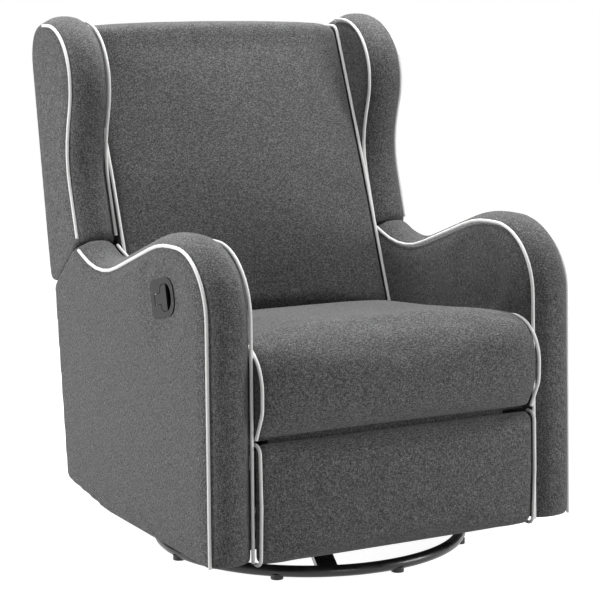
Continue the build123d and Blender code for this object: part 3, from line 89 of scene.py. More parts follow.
def add_bump(tree, shader, height, strength, depth):
    """A bump of the given depth in metres."""
    bump = tree.nodes.new("ShaderNodeBump")
    bump.inputs["Strength"].default_value = strength
    bump.inputs["Distance"].default_value = depth
    tree.links.new(height, bump.inputs["Height"])
    tree.links.new(bump.outputs["Normal"], shader.inputs["Normal"])


def finish_nodes(material, *names):
    """Put a finish on pieces whose modelled shape is already right."""
    for name in names:
        for slot in nodes[name].material_slots:
            slot.material = material


black_paint, tree, shader, place = new_finish("black_powder_coat", (0.012, 0.012, 0.013), 0.34)
peel = add_noise(tree, place, per_metre=(700, 700, 700), detail=2, rough=0.5)
add_bump(tree, shader, peel, strength=0.12, depth=0.0002)
scuffs = add_noise(tree, place, per_metre=(24, 24, 24), detail=5, rough=0.6)
vary(tree, shader, "Roughness", scuffs, [(0.35, grey(0.24)), (0.7, grey(0.46))])
vary(tree, shader, "Base Color", scuffs, [(0.4, (0.009, 0.009, 0.010)), (0.75, (0.018, 0.018, 0.019))])
shader.inputs["Coat Weight"].default_value = 0.15
finish_nodes(black_paint, "base_ring", "base_cross_bars")

moulded_plastic, tree, shader, place = new_finish("moulded_black_plastic", (0.020, 0.020, 0.021), 0.48)
spark = add_noise(tree, place, per_metre=(1500, 1500, 1500), detail=3, rough=0.6)
add_bump(tree, shader, spark, strength=0.25, depth=0.0002)
rubbed = add_noise(tree, place, per_metre=(60, 60, 60), detail=4, rough=0.6)
vary(tree, shader, "Base Color", rubbed, [(0.35, (0.015, 0.015, 0.016)), (0.7, (0.030, 0.030, 0.031))])
vary(tree, shader, "Roughness", rubbed, [(0.35, grey(0.40)), (0.7, grey(0.58))])
finish_nodes(moulded_plastic, "base_glides")

# Swivel and glide: pressed steel races with balls between them, and a frame of welded tube on top.
# Links hang from bearings on the frame's posts, so that the chair swings.
# Screws, balls, pins and bearings are zinc plated, and the rest is painted like the base.
zinc_plate, tree, shader, place = new_finish("zinc_plate", (0.58, 0.58, 0.60), 0.34)
shader.inputs["Metallic"].default_value = 1.0
spangle = add_noise(tree, place, per_metre=(140, 140, 140), detail=4, rough=0.6)
vary(tree, shader, "Base Color", spangle, [(0.35, (0.46, 0.46, 0.48)), (0.7, grey(0.66))])
vary(tree, shader, "Roughness", spangle, [(0.35, grey(0.26)), (0.7, grey(0.44))])
drawn = add_noise(tree, place, per_metre=(90, 1400, 1400), detail=2, rough=0.5)
add_bump(tree, shader, drawn, strength=0.1, depth=0.0001)
finish_nodes(
    zinc_plate,
    "race_screws",
    "swivel_balls",
    "swivel_pivot",
    "glide_upper_pins",
    "glide_lower_pins",
    "front_link_bearings",
    "rear_link_bearings",
)
finish_nodes(
    black_paint,
    "swivel_lower_race",
    "swivel_upper_race",
    "glide_side_rails",
    "glide_cross_members",
    "glide_posts",
    "glide_links_front",
    "glide_links_rear",
    "carriage_rails",
)

# Mechanism: steel side plates with the pivots of the back and the footrest, black painted,
# and a small crank that the release cable pulls.
finish_nodes(black_paint, "mechanism_plate_left", "mechanism_plate_right", "release_arm")
finish_nodes(zinc_plate, "back_pivot_pins", "footrest_pivot_pins")

# Seat frame: wooden rails between the arms, with bent wire springs clipped across them.
# The arm frames and the rails of the back are bare sawn timber, hidden under the covers.
timber, tree, shader, place = new_finish("sawn_timber", (0.50, 0.36, 0.21), 0.7)
grain = add_noise(tree, place, per_metre=(9, 60, 60), detail=6, rough=0.65)
wood_colours = [(0.3, (0.33, 0.21, 0.11)), (0.5, (0.52, 0.37, 0.21)), (0.7, (0.64, 0.49, 0.31))]
vary(tree, shader, "Base Color", grain, wood_colours)
fibres = add_noise(tree, place, per_metre=(60, 900, 900), detail=3, rough=0.6)
add_bump(tree, shader, fibres, strength=0.3, depth=0.0004)
finish_nodes(timber, "arm_frame_left", "arm_frame_right", "back_rails")
finish_nodes(zinc_plate, "seat_springs", "spring_clips")


# Seat cushion: foam and wadding in charcoal fabric, with a waterfall front that drops over the rail.
# Its fabric is sewn to flat sides with a white piped seam, so it crowns towards the middle.
# The rails of the seat frame would show beside it, so they are wrapped in the same fabric.
def work_on(piece):
    """Leave one piece selected and active, so that the next operators act on it alone."""
    bpy.ops.object.select_all(action="DESELECT")
    piece.select_set(True)
    bpy.context.view_layer.objects.active = piece


def new_piece(name, mesh):
    """Put a mesh into the scene as a piece of its own, and work on it."""
    piece = bpy.data.objects.new(name, mesh)
    bpy.context.scene.collection.objects.link(piece)
    work_on(piece)
    return piece


MERGE_DISTANCE = 0.00005


def merged_copy(node, name):
    """A copy of a modelled node with its loose triangles merged, bare and with nothing selected."""
    piece = new_piece(name, nodes[node].data.copy())
    piece.data.materials.clear()
    bpy.ops.object.mode_set(mode="EDIT")
    bpy.ops.mesh.select_all(action="SELECT")
    bpy.ops.mesh.customdata_custom_splitnormals_clear()
    bpy.ops.mesh.remove_doubles(threshold=MERGE_DISTANCE)
    bpy.ops.mesh.select_all(action="DESELECT")
    bpy.ops.object.mode_set(mode="OBJECT")
    return piece


def settle(piece, rounds):
    """Take small steps and dents off a piece, in rounds of smoothing."""
    smoothing = piece.modifiers.new("settle", "SMOOTH")
    smoothing.factor = 0.5
    smoothing.iterations = rounds
    bpy.ops.object.modifier_apply(modifier="settle")


def even_out(piece, face_size, rounds):
    """Remesh a closed form and settle the steps that this leaves."""
    remesh = piece.modifiers.new("even_faces", "REMESH")
    remesh.mode = "VOXEL"
    remesh.voxel_size = face_size
    bpy.ops.object.modifier_apply(modifier="even_faces")
    settle(piece, rounds)
    return piece


def even_skin(node, name, face_size, rounds=6):
    """The closed outside of a padded piece in small even faces, ready to be stuffed."""
    return even_out(merged_copy(node, name), face_size, rounds)


ARC_STEP = 0.12
FEWEST_ARC_STEPS = 3


def rounded_route(corners):
    """Points along straight runs in depth and height, each corner rounded by its third number."""
    route = [Vector(corners[0][:2])]
    for before, here, after in zip(corners, corners[1:], corners[2:]):
        corner = Vector(here[:2])
        radius = here[2]
        back = (Vector(before[:2]) - corner).normalized()
        on = (Vector(after[:2]) - corner).normalized()
        turn = math.pi - back.angle(on)
        reach = radius * math.tan(turn / 2)
        middle = corner + (back + on).normalized() * (radius / math.cos(turn / 2))
        first = corner + back * reach - middle
        last = corner + on * reach - middle
        steps = max(FEWEST_ARC_STEPS, int(turn / ARC_STEP))
        for step in range(steps + 1):
            share = step / steps
            bow = first * math.sin((1 - share) * turn) + last * math.sin(share * turn)
            route.append(middle + bow / math.sin(turn))
    route.append(Vector(corners[-1][:2]))
    return route


# Depths in the corners of each outline are counted back from the front plane of the arms.
ARM_FRONT = -0.40373


def seam_line(corners, across, sink):
    """The line of a piped seam in the chair's own place, drawn in from the outline by its sink."""
    route = rounded_route(corners)
    line = []
    for before, here, after in zip([route[0]] + route, route, route[1:] + [route[-1]]):
        on = (after - before).normalized()
        line.append(Vector((across, ARM_FRONT + here.x - sink * on.y, here.y + sink * on.x)))
    return line


SIDE_SEAM_INSET = 0.001


def side_seams(corners, half_width):
    """The two seams of a cushion, just inside its flat sides."""
    across = half_width - SIDE_SEAM_INSET
    return [seam_line(corners, side * across, SIDE_SEAM_INSET) for side in (-1, 1)]


SEAM_STEP = 0.006


def dense(line):
    """A line's points, with more along its straight runs."""
    filled = []
    for first, last in zip(line, line[1:]):
        steps = max(1, int((last - first).length / SEAM_STEP))
        for step in range(steps):
            filled.append(first.lerp(last, step / steps))
    filled.append(line[-1])
    return filled


def seam_distance(seams):
    """A function that tells how far a point is from the nearest of the seams."""
    line_points = [point for line in seams for point in dense(line)]
    places = KDTree(len(line_points))
    for index, point in enumerate(line_points):
        places.insert(point, index)
    places.balance()

    def from_seam(spot):
        return places.find(spot)[2]

    return from_seam


PINNED_REACH = 0.010
STUFFING_PRESSURE = 4.0
STUFFING_FRAMES = 14
FABRIC_STIFFNESS = 15


def swell(piece, seams, held, cap):
    """Stuff a fabric form: the seams and the held places stay, and the rest swells by up to cap."""
    from_seam = seam_distance(seams)
    pinned = piece.vertex_groups.new(name="sewn")
    for vertex in piece.data.vertices:
        if from_seam(vertex.co) < PINNED_REACH or held(vertex.co):
            pinned.add([vertex.index], 1.0, "REPLACE")
    start = [vertex.co.copy() for vertex in piece.data.vertices]
    cloth = piece.modifiers.new("stuffing", "CLOTH")
    cloth.settings.vertex_group_mass = "sewn"
    cloth.settings.quality = 4
    cloth.settings.use_pressure = True
    cloth.settings.uniform_pressure_force = STUFFING_PRESSURE
    cloth.settings.effector_weights.gravity = 0
    cloth.settings.tension_stiffness = FABRIC_STIFFNESS
    cloth.settings.compression_stiffness = FABRIC_STIFFNESS
    cloth.point_cache.frame_start = 1
    cloth.point_cache.frame_end = STUFFING_FRAMES
    for step in range(1, STUFFING_FRAMES + 1):
        bpy.context.scene.frame_set(step)
    work_on(piece)
    bpy.ops.object.modifier_apply(modifier="stuffing")
    bpy.context.scene.frame_set(1)
    for vertex, place in zip(piece.data.vertices, start):
        move = vertex.co - place
        if move.length > cap:
            vertex.co = place + move * (cap / move.length)


GROOVE_REACH = 0.014


def sew_in(piece, seams, depth):
    """Pull the fabric in along its seams, so that the piping lies in a soft groove."""
    from_seam = seam_distance(seams)
    outward = [vertex.normal.copy() for vertex in piece.data.vertices]
    for vertex, way in zip(piece.data.vertices, outward):
        share = from_seam(vertex.co) / GROOVE_REACH
        if share < 1:
            vertex.co -= way * depth * (1 - share ** 2) ** 2


def add_math(tree, operation, first, second):
    """One step of arithmetic on what two nodes give."""
    step = tree.nodes.new("ShaderNodeMath")
    step.operation = operation
    tree.links.new(first, step.inputs[0])
    tree.links.new(second, step.inputs[1])
    return step.outputs["Value"]


def charcoal_cloth():
    """Heathered charcoal weave: light and dark threads run along and across, under a soft nap."""
    material, tree, shader, place = new_finish("charcoal_weave", (0.105, 0.105, 0.106), 0.9)
    thread_runs = ((170, 620, 620), (620, 170, 620), (620, 620, 170))
    threads = add_noise(tree, place, thread_runs[0], detail=2.0, rough=0.6)
    for run in thread_runs[1:]:
        threads = add_math(tree, "ADD", threads, add_noise(tree, place, run, detail=2.0, rough=0.6))
    mean = tree.nodes.new("ShaderNodeMath")
    mean.operation = "DIVIDE"
    mean.inputs[1].default_value = len(thread_runs)
    tree.links.new(threads, mean.inputs[0])
    weave = mean.outputs["Value"]
    thread_colours = [
        (0.40, (0.030, 0.030, 0.031)),
        (0.5, (0.103, 0.103, 0.104)),
        (0.60, (0.250, 0.250, 0.251)),
    ]
    heather = add_ramp(tree, weave, thread_colours)
    cloud = add_noise(tree, place, per_metre=(38, 38, 38), detail=3, rough=0.55)
    shade = add_ramp(tree, cloud, [(0.3, grey(0.88)), (0.7, grey(1.0))])
    mixed = tree.nodes.new("ShaderNodeMix")
    mixed.data_type = "RGBA"
    mixed.blend_type = "MULTIPLY"
    mixed.inputs["Factor"].default_value = 1.0
    tree.links.new(heather, mixed.inputs["A"])
    tree.links.new(shade, mixed.inputs["B"])
    tree.links.new(mixed.outputs["Result"], shader.inputs["Base Color"])
    add_bump(tree, shader, weave, strength=0.5, depth=0.0012)
    shader.inputs["Specular IOR Level"].default_value = 0.25
    shader.inputs["Sheen Weight"].default_value = 0.12
    shader.inputs["Sheen Roughness"].default_value = 0.5
    return material


charcoal_weave = charcoal_cloth()
finish_nodes(charcoal_weave, "seat_cross_rails", "seat_side_rails")


def cover(piece, rounds=4, seams=(), depth=0.0):
    """Soften what the stuffing left, round the faces, sew the seams and put the charcoal fabric on."""
    work_on(piece)
    settle(piece, rounds)
    rounder = piece.modifiers.new("rounder", "SUBSURF")
    rounder.levels = 1
    rounder.render_levels = 1
    bpy.ops.object.modifier_apply(modifier="rounder")
    if seams:
        sew_in(piece, seams, depth)
    bpy.ops.object.shade_smooth()
    piece.data.materials.append(charcoal_weave)


HELD_EDGE = 0.012
CUSHION_GROOVE = 0.003
SEAT_HALF = 0.29425
SEAT_UNDERSIDE = 0.340
SEAT_LIP = 0.010
SEAT_REAR = 0.455
seat_corners = [
    (0.440, 0.4285, 0.0),
    (-0.027, 0.472, 0.080),
    (-0.027, 0.348, 0.050),
    (-0.002, 0.296, 0.0),
]
seat_seams = side_seams(seat_corners, SEAT_HALF)
seat_cushion = even_skin("seat_cushion", "seat_cushion_fabric", face_size=0.0065)


def seat_held(place):
    """Sides, underside and rear of the seat, which lie against the arms, the frame and the back."""
    at_side = abs(place.x) > SEAT_HALF - HELD_EDGE
    under = place.z < SEAT_UNDERSIDE and place.y > ARM_FRONT + SEAT_LIP
    behind = place.y > ARM_FRONT + SEAT_REAR
    return at_side or under or behind


swell(seat_cushion, seat_seams, seat_held, cap=0.006)
cover(seat_cushion, seams=seat_seams, depth=CUSHION_GROOVE)
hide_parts("seat_cushion")
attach(seat_cushion, "chair")


# Piping: thin cord wrapped in white cotton and sewn in where two panels of a cover meet.
# It follows the lines of the seams, and lies in the groove that they pull.
def white_cotton():
    """Plain white weave with fine threads and a little handling grey."""
    material, tree, shader, place = new_finish("white_piping_cotton", (0.86, 0.86, 0.85), 0.85)
    thread = add_noise(tree, place, per_metre=(1100, 1100, 1100), detail=3, rough=0.6)
    vary(tree, shader, "Base Color", thread, [(0.3, (0.84, 0.84, 0.83)), (0.6, (0.95, 0.95, 0.94))])
    add_bump(tree, shader, thread, strength=0.35, depth=0.0006)
    shader.inputs["Specular IOR Level"].default_value = 0.25
    shader.inputs["Sheen Weight"].default_value = 0.1
    return material


white_piping = white_cotton()
PIPING_RADIUS = 0.00325


def sew_piping(name, lines, node, body):
    """Round piping along sewn seams, one piece for all the lines."""
    curve = bpy.data.curves.new(name, "CURVE")
    curve.dimensions = "3D"
    curve.bevel_depth = PIPING_RADIUS
    curve.bevel_resolution = 3
    curve.use_fill_caps = True
    for line in lines:
        spline = curve.splines.new("POLY")
        spline.points.add(len(line) - 1)
        for point, spot in zip(spline.points, line):
            point.co = (*spot, 1)
    drawn_line = bpy.data.objects.new(name + "_line", curve)
    mesh = bpy.data.meshes.new_from_object(drawn_line)
    bpy.data.objects.remove(drawn_line)
    piece = new_piece(name, mesh)
    bpy.ops.object.shade_smooth_by_angle(angle=math.radians(50))
    piece.data.materials.clear()
    piece.data.materials.append(white_piping)
    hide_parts(node)
    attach(piece, body)


sew_piping("seat_piping_cord", seat_seams, "seat_piping", "chair")

# Arms: boards and spacers padded on all sides and covered in the same charcoal fabric.
# A band runs up the front and along the top, sewn to the flat sides with piping on both edges.
OUTER_SEAM_INSET = 0.0030
INNER_SEAM_INSET = 0.0005
INNER_SEAM_SINK = 0.0010


def band_seams(corners, inner, outer, outer_sink):
    """The seams along the outer and inner edge of a band."""
    return [
        seam_line(corners, outer - OUTER_SEAM_INSET, outer_sink),
        seam_line(corners, inner + INNER_SEAM_INSET, INNER_SEAM_SINK),
    ]


BAND_GROOVE = 0.0035
ARM_INNER = 0.30025
ARM_OUTER = 0.38625
POCKET_WALL = 0.014
POCKET_TOLERANCE = 0.0003
arm_corners = [
    (0.583, 0.5807, 0.0),
    (0.483, 0.540, 0.230),
    (0.1985, 0.635, 0.280),
    (0.0, 0.635, 0.127),
    (0.0, 0.073, 0.0),
]
arm_seams = band_seams(arm_corners, ARM_INNER, ARM_OUTER, outer_sink=0.0065)
arm_left = merged_copy("arm_cover_left", "arm_left_fabric")
# The pocket for the arm's frame is taken out and its mouth is closed, so that the outside alone is kept.
pocket_sides = (ARM_INNER + POCKET_WALL, ARM_OUTER - POCKET_WALL)
for face in arm_left.data.polygons:
    corners_x = [arm_left.data.vertices[index].co.x for index in face.vertices]
    face.select = all(min(abs(x - side) for side in pocket_sides) < POCKET_TOLERANCE for x in corners_x)
bpy.ops.object.mode_set(mode="EDIT")
bpy.ops.mesh.select_mode(type="FACE")
bpy.ops.mesh.delete(type="FACE")
bpy.ops.mesh.select_mode(type="EDGE")
bpy.ops.mesh.select_non_manifold()
bpy.ops.mesh.fill()
bpy.ops.mesh.select_all(action="SELECT")
bpy.ops.mesh.normals_make_consistent(inside=False)
bpy.ops.object.mode_set(mode="OBJECT")
even_out(arm_left, face_size=0.0063, rounds=2)


def ease(value, low, high):
    """From 0 at low to 1 at high, with soft ends."""
    share = min(max((value - low) / (high - low), 0.0), 1.0)
    return share * share * (3 - 2 * share)


PADDED_FROM_SEAM = (0.002, 0.030)


def pad_out(piece, seams, rise, slack):
    """Padding under a stretched cover: it rises away from the seams, as far as the slack lets it."""
    from_seam = seam_distance(seams)
    outward = [vertex.normal.copy() for vertex in piece.data.vertices]
    for vertex, way in zip(piece.data.vertices, outward):
        away = ease(from_seam(vertex.co), *PADDED_FROM_SEAM)
        vertex.co += way * rise * away * slack(vertex.co)


latch_middle = Vector((0.0, ARM_FRONT + 0.178, 0.533))
ARM_LOOSE_ABOVE = (0.074, 0.110)
ARM_LOOSE_FROM_LATCH = (0.060, 0.110)


def arm_slack(place):
    """None under the arm or round the latch, where the cover lies flat on the frame."""
    from_latch = (Vector((0.0, place.y, place.z)) - latch_middle).length
    return ease(place.z, *ARM_LOOSE_ABOVE) * ease(from_latch, *ARM_LOOSE_FROM_LATCH)


def mirrored_piece(piece, name):
    """The same cover for the chair's other side, with a mesh of its own turned the right way out."""
    twin = new_piece(name, piece.data.copy())
    bpy.ops.object.mode_set(mode="EDIT")
    bpy.ops.mesh.select_all(action="SELECT")
    bpy.ops.transform.mirror(constraint_axis=(True, False, False), center_override=(0, 0, 0))
    bpy.ops.mesh.normals_make_consistent(inside=False)
    bpy.ops.object.mode_set(mode="OBJECT")
    return twin


def mirrored_seams(seams):
    """The same seams on the chair's other side."""
    return [[Vector((-spot.x, spot.y, spot.z)) for spot in line] for line in seams]


pad_out(arm_left, arm_seams, rise=0.004, slack=arm_slack)
cover(arm_left, rounds=2, seams=arm_seams, depth=BAND_GROOVE)
arm_right = mirrored_piece(arm_left, "arm_right_fabric")
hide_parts("arm_cover_left")
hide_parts("arm_cover_right")
for arm in (arm_left, arm_right):
    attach(arm, "chair")
arm_right_seams = mirrored_seams(arm_seams)
ARM_LEAN = 0.011
LEAN_CENTRE = 0.5
LEAN_TOP = 0.60
LEAN_DROP = 0.50
LEAN_REAR = 0.45
LEAN_RUN = 0.40


def lean_out(place):
    """How far the left arm's front leans: in at its top and out at its foot, as the cover pulls it."""
    downward = ease(LEAN_TOP - place.z, 0.0, LEAN_DROP) - LEAN_CENTRE
    return ARM_LEAN * downward * ease(ARM_FRONT + LEAN_REAR - place.y, 0.0, LEAN_RUN)


for vertex in arm_left.data.vertices:
    vertex.co.x += lean_out(vertex.co)
for line in arm_seams:
    for spot in line:
        spot.x += lean_out(spot)
sew_piping("arm_piping_cord", arm_seams + arm_right_seams, "arm_piping", "chair")

# Latch: a charcoal moulded housing let into the outer face of the right arm and screwed to its frame.
# A T-shaped paddle turns on a pin at its rear, and fingers pull it from a slot at its front.
LATCH_TURN = math.radians(13)
LATCH_HOLE_SIZE = (0.080, 0.079, 0.0555)
LATCH_HOLE_ROUNDING = 0.006
LATCH_HOLE_PLACE = (-0.3925, ARM_FRONT + 0.1771, 0.5332)
bpy.ops.object.select_all(action="DESELECT")
bpy.ops.mesh.primitive_cube_add(size=1)
latch_hole = bpy.context.object
latch_hole.name = "latch_hole"
bpy.ops.object.mode_set(mode="EDIT")
bpy.ops.mesh.select_all(action="SELECT")
bpy.ops.transform.resize(value=LATCH_HOLE_SIZE)
bpy.ops.mesh.bevel(offset=LATCH_HOLE_ROUNDING, segments=3, affect="EDGES")
bpy.ops.object.mode_set(mode="OBJECT")
latch_hole.rotation_euler = (-LATCH_TURN, 0, 0)
latch_hole.location = LATCH_HOLE_PLACE
work_on(arm_right)
let_in = arm_right.modifiers.new("let_in", "BOOLEAN")
let_in.operation = "DIFFERENCE"
let_in.object = latch_hole
bpy.ops.object.modifier_apply(modifier="let_in")
bpy.data.objects.remove(latch_hole)
latch_plastic, tree, shader, place = new_finish("charcoal_latch_plastic", (0.032, 0.032, 0.033), 0.50)
latch_grain = add_noise(tree, place, per_metre=(1300, 1300, 1300), detail=3, rough=0.6)
add_bump(tree, shader, latch_grain, strength=0.2, depth=0.0002)
handled = add_noise(tree, place, per_metre=(70, 70, 70), detail=4, rough=0.6)
vary(tree, shader, "Base Color", handled, [(0.35, (0.027, 0.027, 0.028)), (0.7, (0.039, 0.039, 0.040))])
vary(tree, shader, "Roughness", handled, [(0.35, grey(0.44)), (0.7, grey(0.58))])
shader.inputs["Specular IOR Level"].default_value = 0.2
finish_nodes(latch_plastic, "latch_housing", "latch_lever")
finish_nodes(moulded_plastic, "release_cable")
finish_nodes(zinc_plate, "latch_pin")
finish_nodes(black_paint, "latch_screws")
for name in ("latch_housing", "latch_lever"):
    joined = nodes[name].modifiers.new("joined", "WELD")
    joined.merge_threshold = 0.00002
    eased = nodes[name].modifiers.new("eased_edges", "BEVEL")
    eased.width = 0.0012
    eased.segments = 2
    eased.limit_method = "ANGLE"
    eased.angle_limit = math.radians(40)

# Rear panel: a thin padded board that closes the seat box behind, between the arms.
# It is covered in the same fabric, with no piping.
rear_panel = even_skin("rear_panel", "rear_panel_fabric", face_size=0.0045)
cover(rear_panel)
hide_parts("rear_panel")
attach(rear_panel, "chair")

# Back frame: timber posts on steel brackets that turn on the mechanism, with rails between them
# that hold elastic webbing. The posts show between the wings and the arms, so they are wrapped
# in the charcoal fabric.
finish_nodes(charcoal_weave, "back_posts")
woven_elastic, tree, shader, place = new_finish("woven_elastic", (0.04, 0.04, 0.045), 0.85)
ribs = add_noise(tree, place, per_metre=(500, 60, 60), detail=2, rough=0.5)
vary(tree, shader, "Base Color", ribs, [(0.35, (0.022, 0.022, 0.025)), (0.65, (0.075, 0.075, 0.080))])
add_bump(tree, shader, ribs, strength=0.5, depth=0.0008)
finish_nodes(woven_elastic, "back_webbing")
finish_nodes(black_paint, "back_brackets")

# Back cushion: a tall padded panel sewn along both sides with piping, so its face bows forward.
# Its fabric goes over the top of the frame and is fixed behind the outside back.
BACK_HALF = 0.29275
BACK_FRAME_DEPTH = 0.052
BACK_UNDERSIDE = 0.402
BACK_CREST = 0.96
HEEL_DEPTH = 0.754
HEEL_HEIGHT = 0.486
BACK_LEAN = math.radians(9.62)
back_corners = [
    (0.832, 1.006, 0.0),
    (0.742, 1.006, 0.024),
    (0.6185, 0.701, 0.500),
    (0.5085, 0.410, 0.0),
]
back_seams = side_seams(back_corners, BACK_HALF)
back_cushion = even_skin("back_cushion", "back_cushion_fabric", face_size=0.0074)


def back_plane(height):
    """Depth of the leaning plane along the rear of the back and the wings."""
    return HEEL_DEPTH + (height - HEEL_HEIGHT) * math.tan(BACK_LEAN)


def back_held(place):
    """Sides, rear, underside and top of the back cushion, which are fixed to the frame."""
    at_side = abs(place.x) > BACK_HALF - HELD_EDGE
    behind = place.y - ARM_FRONT > back_plane(place.z) - BACK_FRAME_DEPTH
    return at_side or behind or place.z < BACK_UNDERSIDE or place.z > BACK_CREST


swell(back_cushion, back_seams, back_held, cap=0.009)
cover(back_cushion, seams=back_seams, depth=CUSHION_GROOVE)
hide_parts("back_cushion")
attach(back_cushion, "backrest")
sew_piping("back_piping_cord", back_seams, "back_piping", "backrest")

# Wings: padded side pieces on the back posts, with an S-shaped front edge that turns in above the arms.
# They are covered like the arms, with piping on both edges of the band.
WING_INNER = 0.29875
WING_OUTER = 0.38325
WING_LOOSE_FROM_REAR = (0.004, 0.050)
WING_LOOSE_ABOVE = (0.50, 0.60)
wing_corners = [
    (0.757, 1.020, 0.0),
    (0.610, 1.020, 0.125),
    (0.610, 0.868, 0.150),
    (0.643, 0.757, 0.190),
    (0.5925, 0.5985, 0.0),
]
wing_seams = band_seams(wing_corners, WING_INNER, WING_OUTER, outer_sink=0.0070)
wing_left = even_skin("wing_left", "wing_left_fabric", face_size=0.0050, rounds=2)


def wing_slack(place):
    """None at the lower and rear edges of the wing, which are fixed to the frame."""
    from_rear = back_plane(place.z) - (place.y - ARM_FRONT)
    return ease(from_rear, *WING_LOOSE_FROM_REAR) * ease(place.z, *WING_LOOSE_ABOVE)


pad_out(wing_left, wing_seams, rise=0.003, slack=wing_slack)
cover(wing_left, rounds=2, seams=wing_seams, depth=BAND_GROOVE)
wing_right = mirrored_piece(wing_left, "wing_right_fabric")
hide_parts("wing_left")
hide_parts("wing_right")
for wing in (wing_left, wing_right):
    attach(wing, "backrest")
sew_piping("wing_piping_cord", wing_seams + mirrored_seams(wing_seams), "wing_piping", "backrest")

# Outside back: a thin panel in the same fabric, wide above the arms and narrow between them.
# It is stapled over the rear of the frame and the wings.
outside_back = even_skin("outside_back", "outside_back_fabric", face_size=0.0042)
bpy.ops.object.shade_smooth()
outside_back.data.materials.append(charcoal_weave)
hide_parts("outside_back")
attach(outside_back, "backrest")

# Footrest: a board wrapped in the same fabric, with a padded front that is piped at both sides.
# Flat steel links in pairs swing it out from under the seat.
finish_nodes(charcoal_weave, "footrest_board")
FOOTREST_HALF = 0.29325
FOOTREST_PAD_REAR = 0.004
footrest_corners = [
    (0.009, 0.287, 0.0),
    (-0.014, 0.287, 0.018),
    (-0.018, 0.177, 0.300),
    (-0.014, 0.067, 0.018),
    (0.009, 0.067, 0.0),
]
footrest_seams = side_seams(footrest_corners, FOOTREST_HALF)
footrest_pad = even_skin("footrest_pad", "footrest_pad_fabric", face_size=0.0055)


def footrest_held(place):
    """Sides and rear of the pad, which are fixed to the board."""
    return abs(place.x) > FOOTREST_HALF - HELD_EDGE or place.y > ARM_FRONT + FOOTREST_PAD_REAR


swell(footrest_pad, footrest_seams, footrest_held, cap=0.007)
cover(footrest_pad, seams=footrest_seams, depth=CUSHION_GROOVE)
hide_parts("footrest_pad")
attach(footrest_pad, "footrest")
sew_piping("footrest_piping_cord", footrest_seams, "footrest_piping", "footrest")
finish_nodes(
    black_paint,
    "footrest_rear_links",
    "footrest_torque_tube",
    "footrest_front_links",
    "footrest_guide_links",
    "footrest_brackets",
)
finish_nodes(zinc_plate, "footrest_link_pins", "footrest_panel_pins")

# Studio: a wide pale floor that looks nearly white, and a broad light overhead.
# A softbox stands at the left, a weaker one at the right, and a small fill in front.
floor_paint, tree, shader = new_finish("pale_floor", grey(0.42), 0.9)[:3]
shader.inputs["Specular IOR Level"].default_value = 0.0
glow = tree.nodes.new("ShaderNodeEmission")
glow.inputs["Strength"].default_value = 0.96
seen = tree.nodes.new("ShaderNodeLightPath")
lit = tree.nodes.new("ShaderNodeAddShader")
tree.links.new(shader.outputs["BSDF"], lit.inputs[0])
tree.links.new(glow.outputs["Emission"], lit.inputs[1])
choose = tree.nodes.new("ShaderNodeMixShader")
either = add_math(tree, "MAXIMUM", seen.outputs["Is Camera Ray"], seen.outputs["Is Glossy Ray"])
tree.links.new(either, choose.inputs["Fac"])
tree.links.new(shader.outputs["BSDF"], choose.inputs[1])
tree.links.new(lit.outputs["Shader"], choose.inputs[2])
tree.links.new(choose.outputs["Shader"], tree.nodes["Material Output"].inputs["Surface"])
bpy.ops.object.select_all(action="DESELECT")
bpy.ops.mesh.primitive_plane_add(size=60)
floor = bpy.context.object
floor.name = "floor"
floor.data.materials.append(floor_paint)

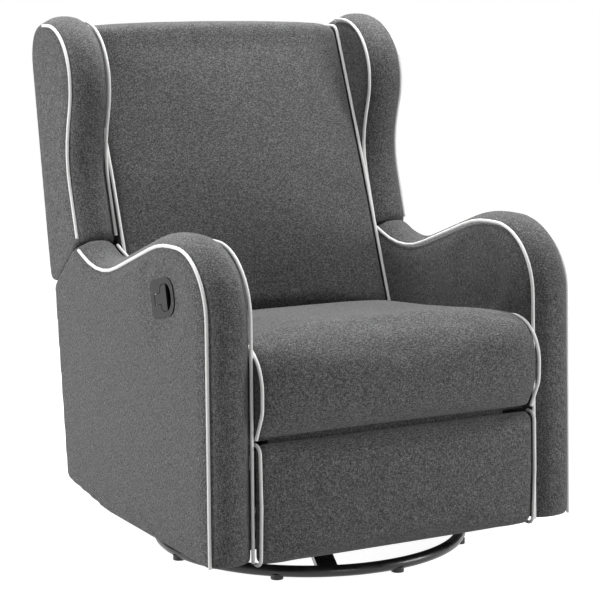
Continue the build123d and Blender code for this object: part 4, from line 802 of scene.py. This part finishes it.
world = bpy.data.worlds.new("studio")
bpy.context.scene.world = world
world.use_nodes = True
sky = world.node_tree
ambient = sky.nodes["Background"]
ambient.inputs["Color"].default_value = (1, 1, 1, 1)
ambient.inputs["Strength"].default_value = 0.10
backdrop = sky.nodes.new("ShaderNodeBackground")
backdrop.inputs["Color"].default_value = (1, 1, 1, 1)
backdrop.inputs["Strength"].default_value = 1.0
sky_seen = sky.nodes.new("ShaderNodeLightPath")
sky_choose = sky.nodes.new("ShaderNodeMixShader")
sky.links.new(sky_seen.outputs["Is Camera Ray"], sky_choose.inputs["Fac"])
sky.links.new(ambient.outputs["Background"], sky_choose.inputs[1])
sky.links.new(backdrop.outputs["Background"], sky_choose.inputs[2])
sky.links.new(sky_choose.outputs["Shader"], sky.nodes["World Output"].inputs["Surface"])


def add_softbox(name, spot, aim, size, power):
    """A square softbox that points at a place."""
    lamp = bpy.data.lights.new(name, "AREA")
    lamp.size = size
    lamp.energy = power
    softbox = bpy.data.objects.new(name, lamp)
    bpy.context.scene.collection.objects.link(softbox)
    softbox.location = spot
    softbox.rotation_euler = (Vector(aim) - Vector(spot)).to_track_quat("-Z", "Y").to_euler()


add_softbox("overhead_light", spot=(0.3, 0.6, 3.2), aim=(0, 0, 0.5), size=2.0, power=150)
add_softbox("left_light", spot=(-3.0, 0.7, 0.72), aim=(0, 0, 0.5), size=1.0, power=68)
add_softbox("right_fill", spot=(2.7, -2.4, 0.85), aim=(0, 0, 0.5), size=1.2, power=57)
add_softbox("front_fill", spot=(-0.4, -3.8, 0.9), aim=(0, 0, 0.4), size=1.2, power=14)

# Camera: a long lens at the photograph's viewing angle, round from the front on the latch's side.
# It looks slightly down, and is rolled a little about its own line of sight.
camera_data = bpy.data.cameras.new("camera")
camera_data.lens = 115.87
camera_data.sensor_width = 36.0
camera = bpy.data.objects.new("camera", camera_data)
bpy.context.scene.collection.objects.link(camera)
azimuth = math.radians(-28.42)
elevation = math.radians(8.75)
roll = math.radians(-0.391)
away = Vector((
    math.sin(azimuth) * math.cos(elevation),
    -math.cos(azimuth) * math.cos(elevation),
    math.sin(elevation),
))
level = Vector((math.cos(azimuth), math.sin(azimuth), 0))
upward = away.cross(level)
camera_right = level * math.cos(roll) + upward * math.sin(roll)
camera_up = upward * math.cos(roll) - level * math.sin(roll)
camera.rotation_mode = "QUATERNION"
camera.rotation_quaternion = Matrix((camera_right, camera_up, away)).transposed().to_quaternion()
camera.location = (-1.8019, -3.3577, 1.0552)
bpy.context.scene.camera = camera
bpy.context.scene.view_settings.view_transform = "Standard"
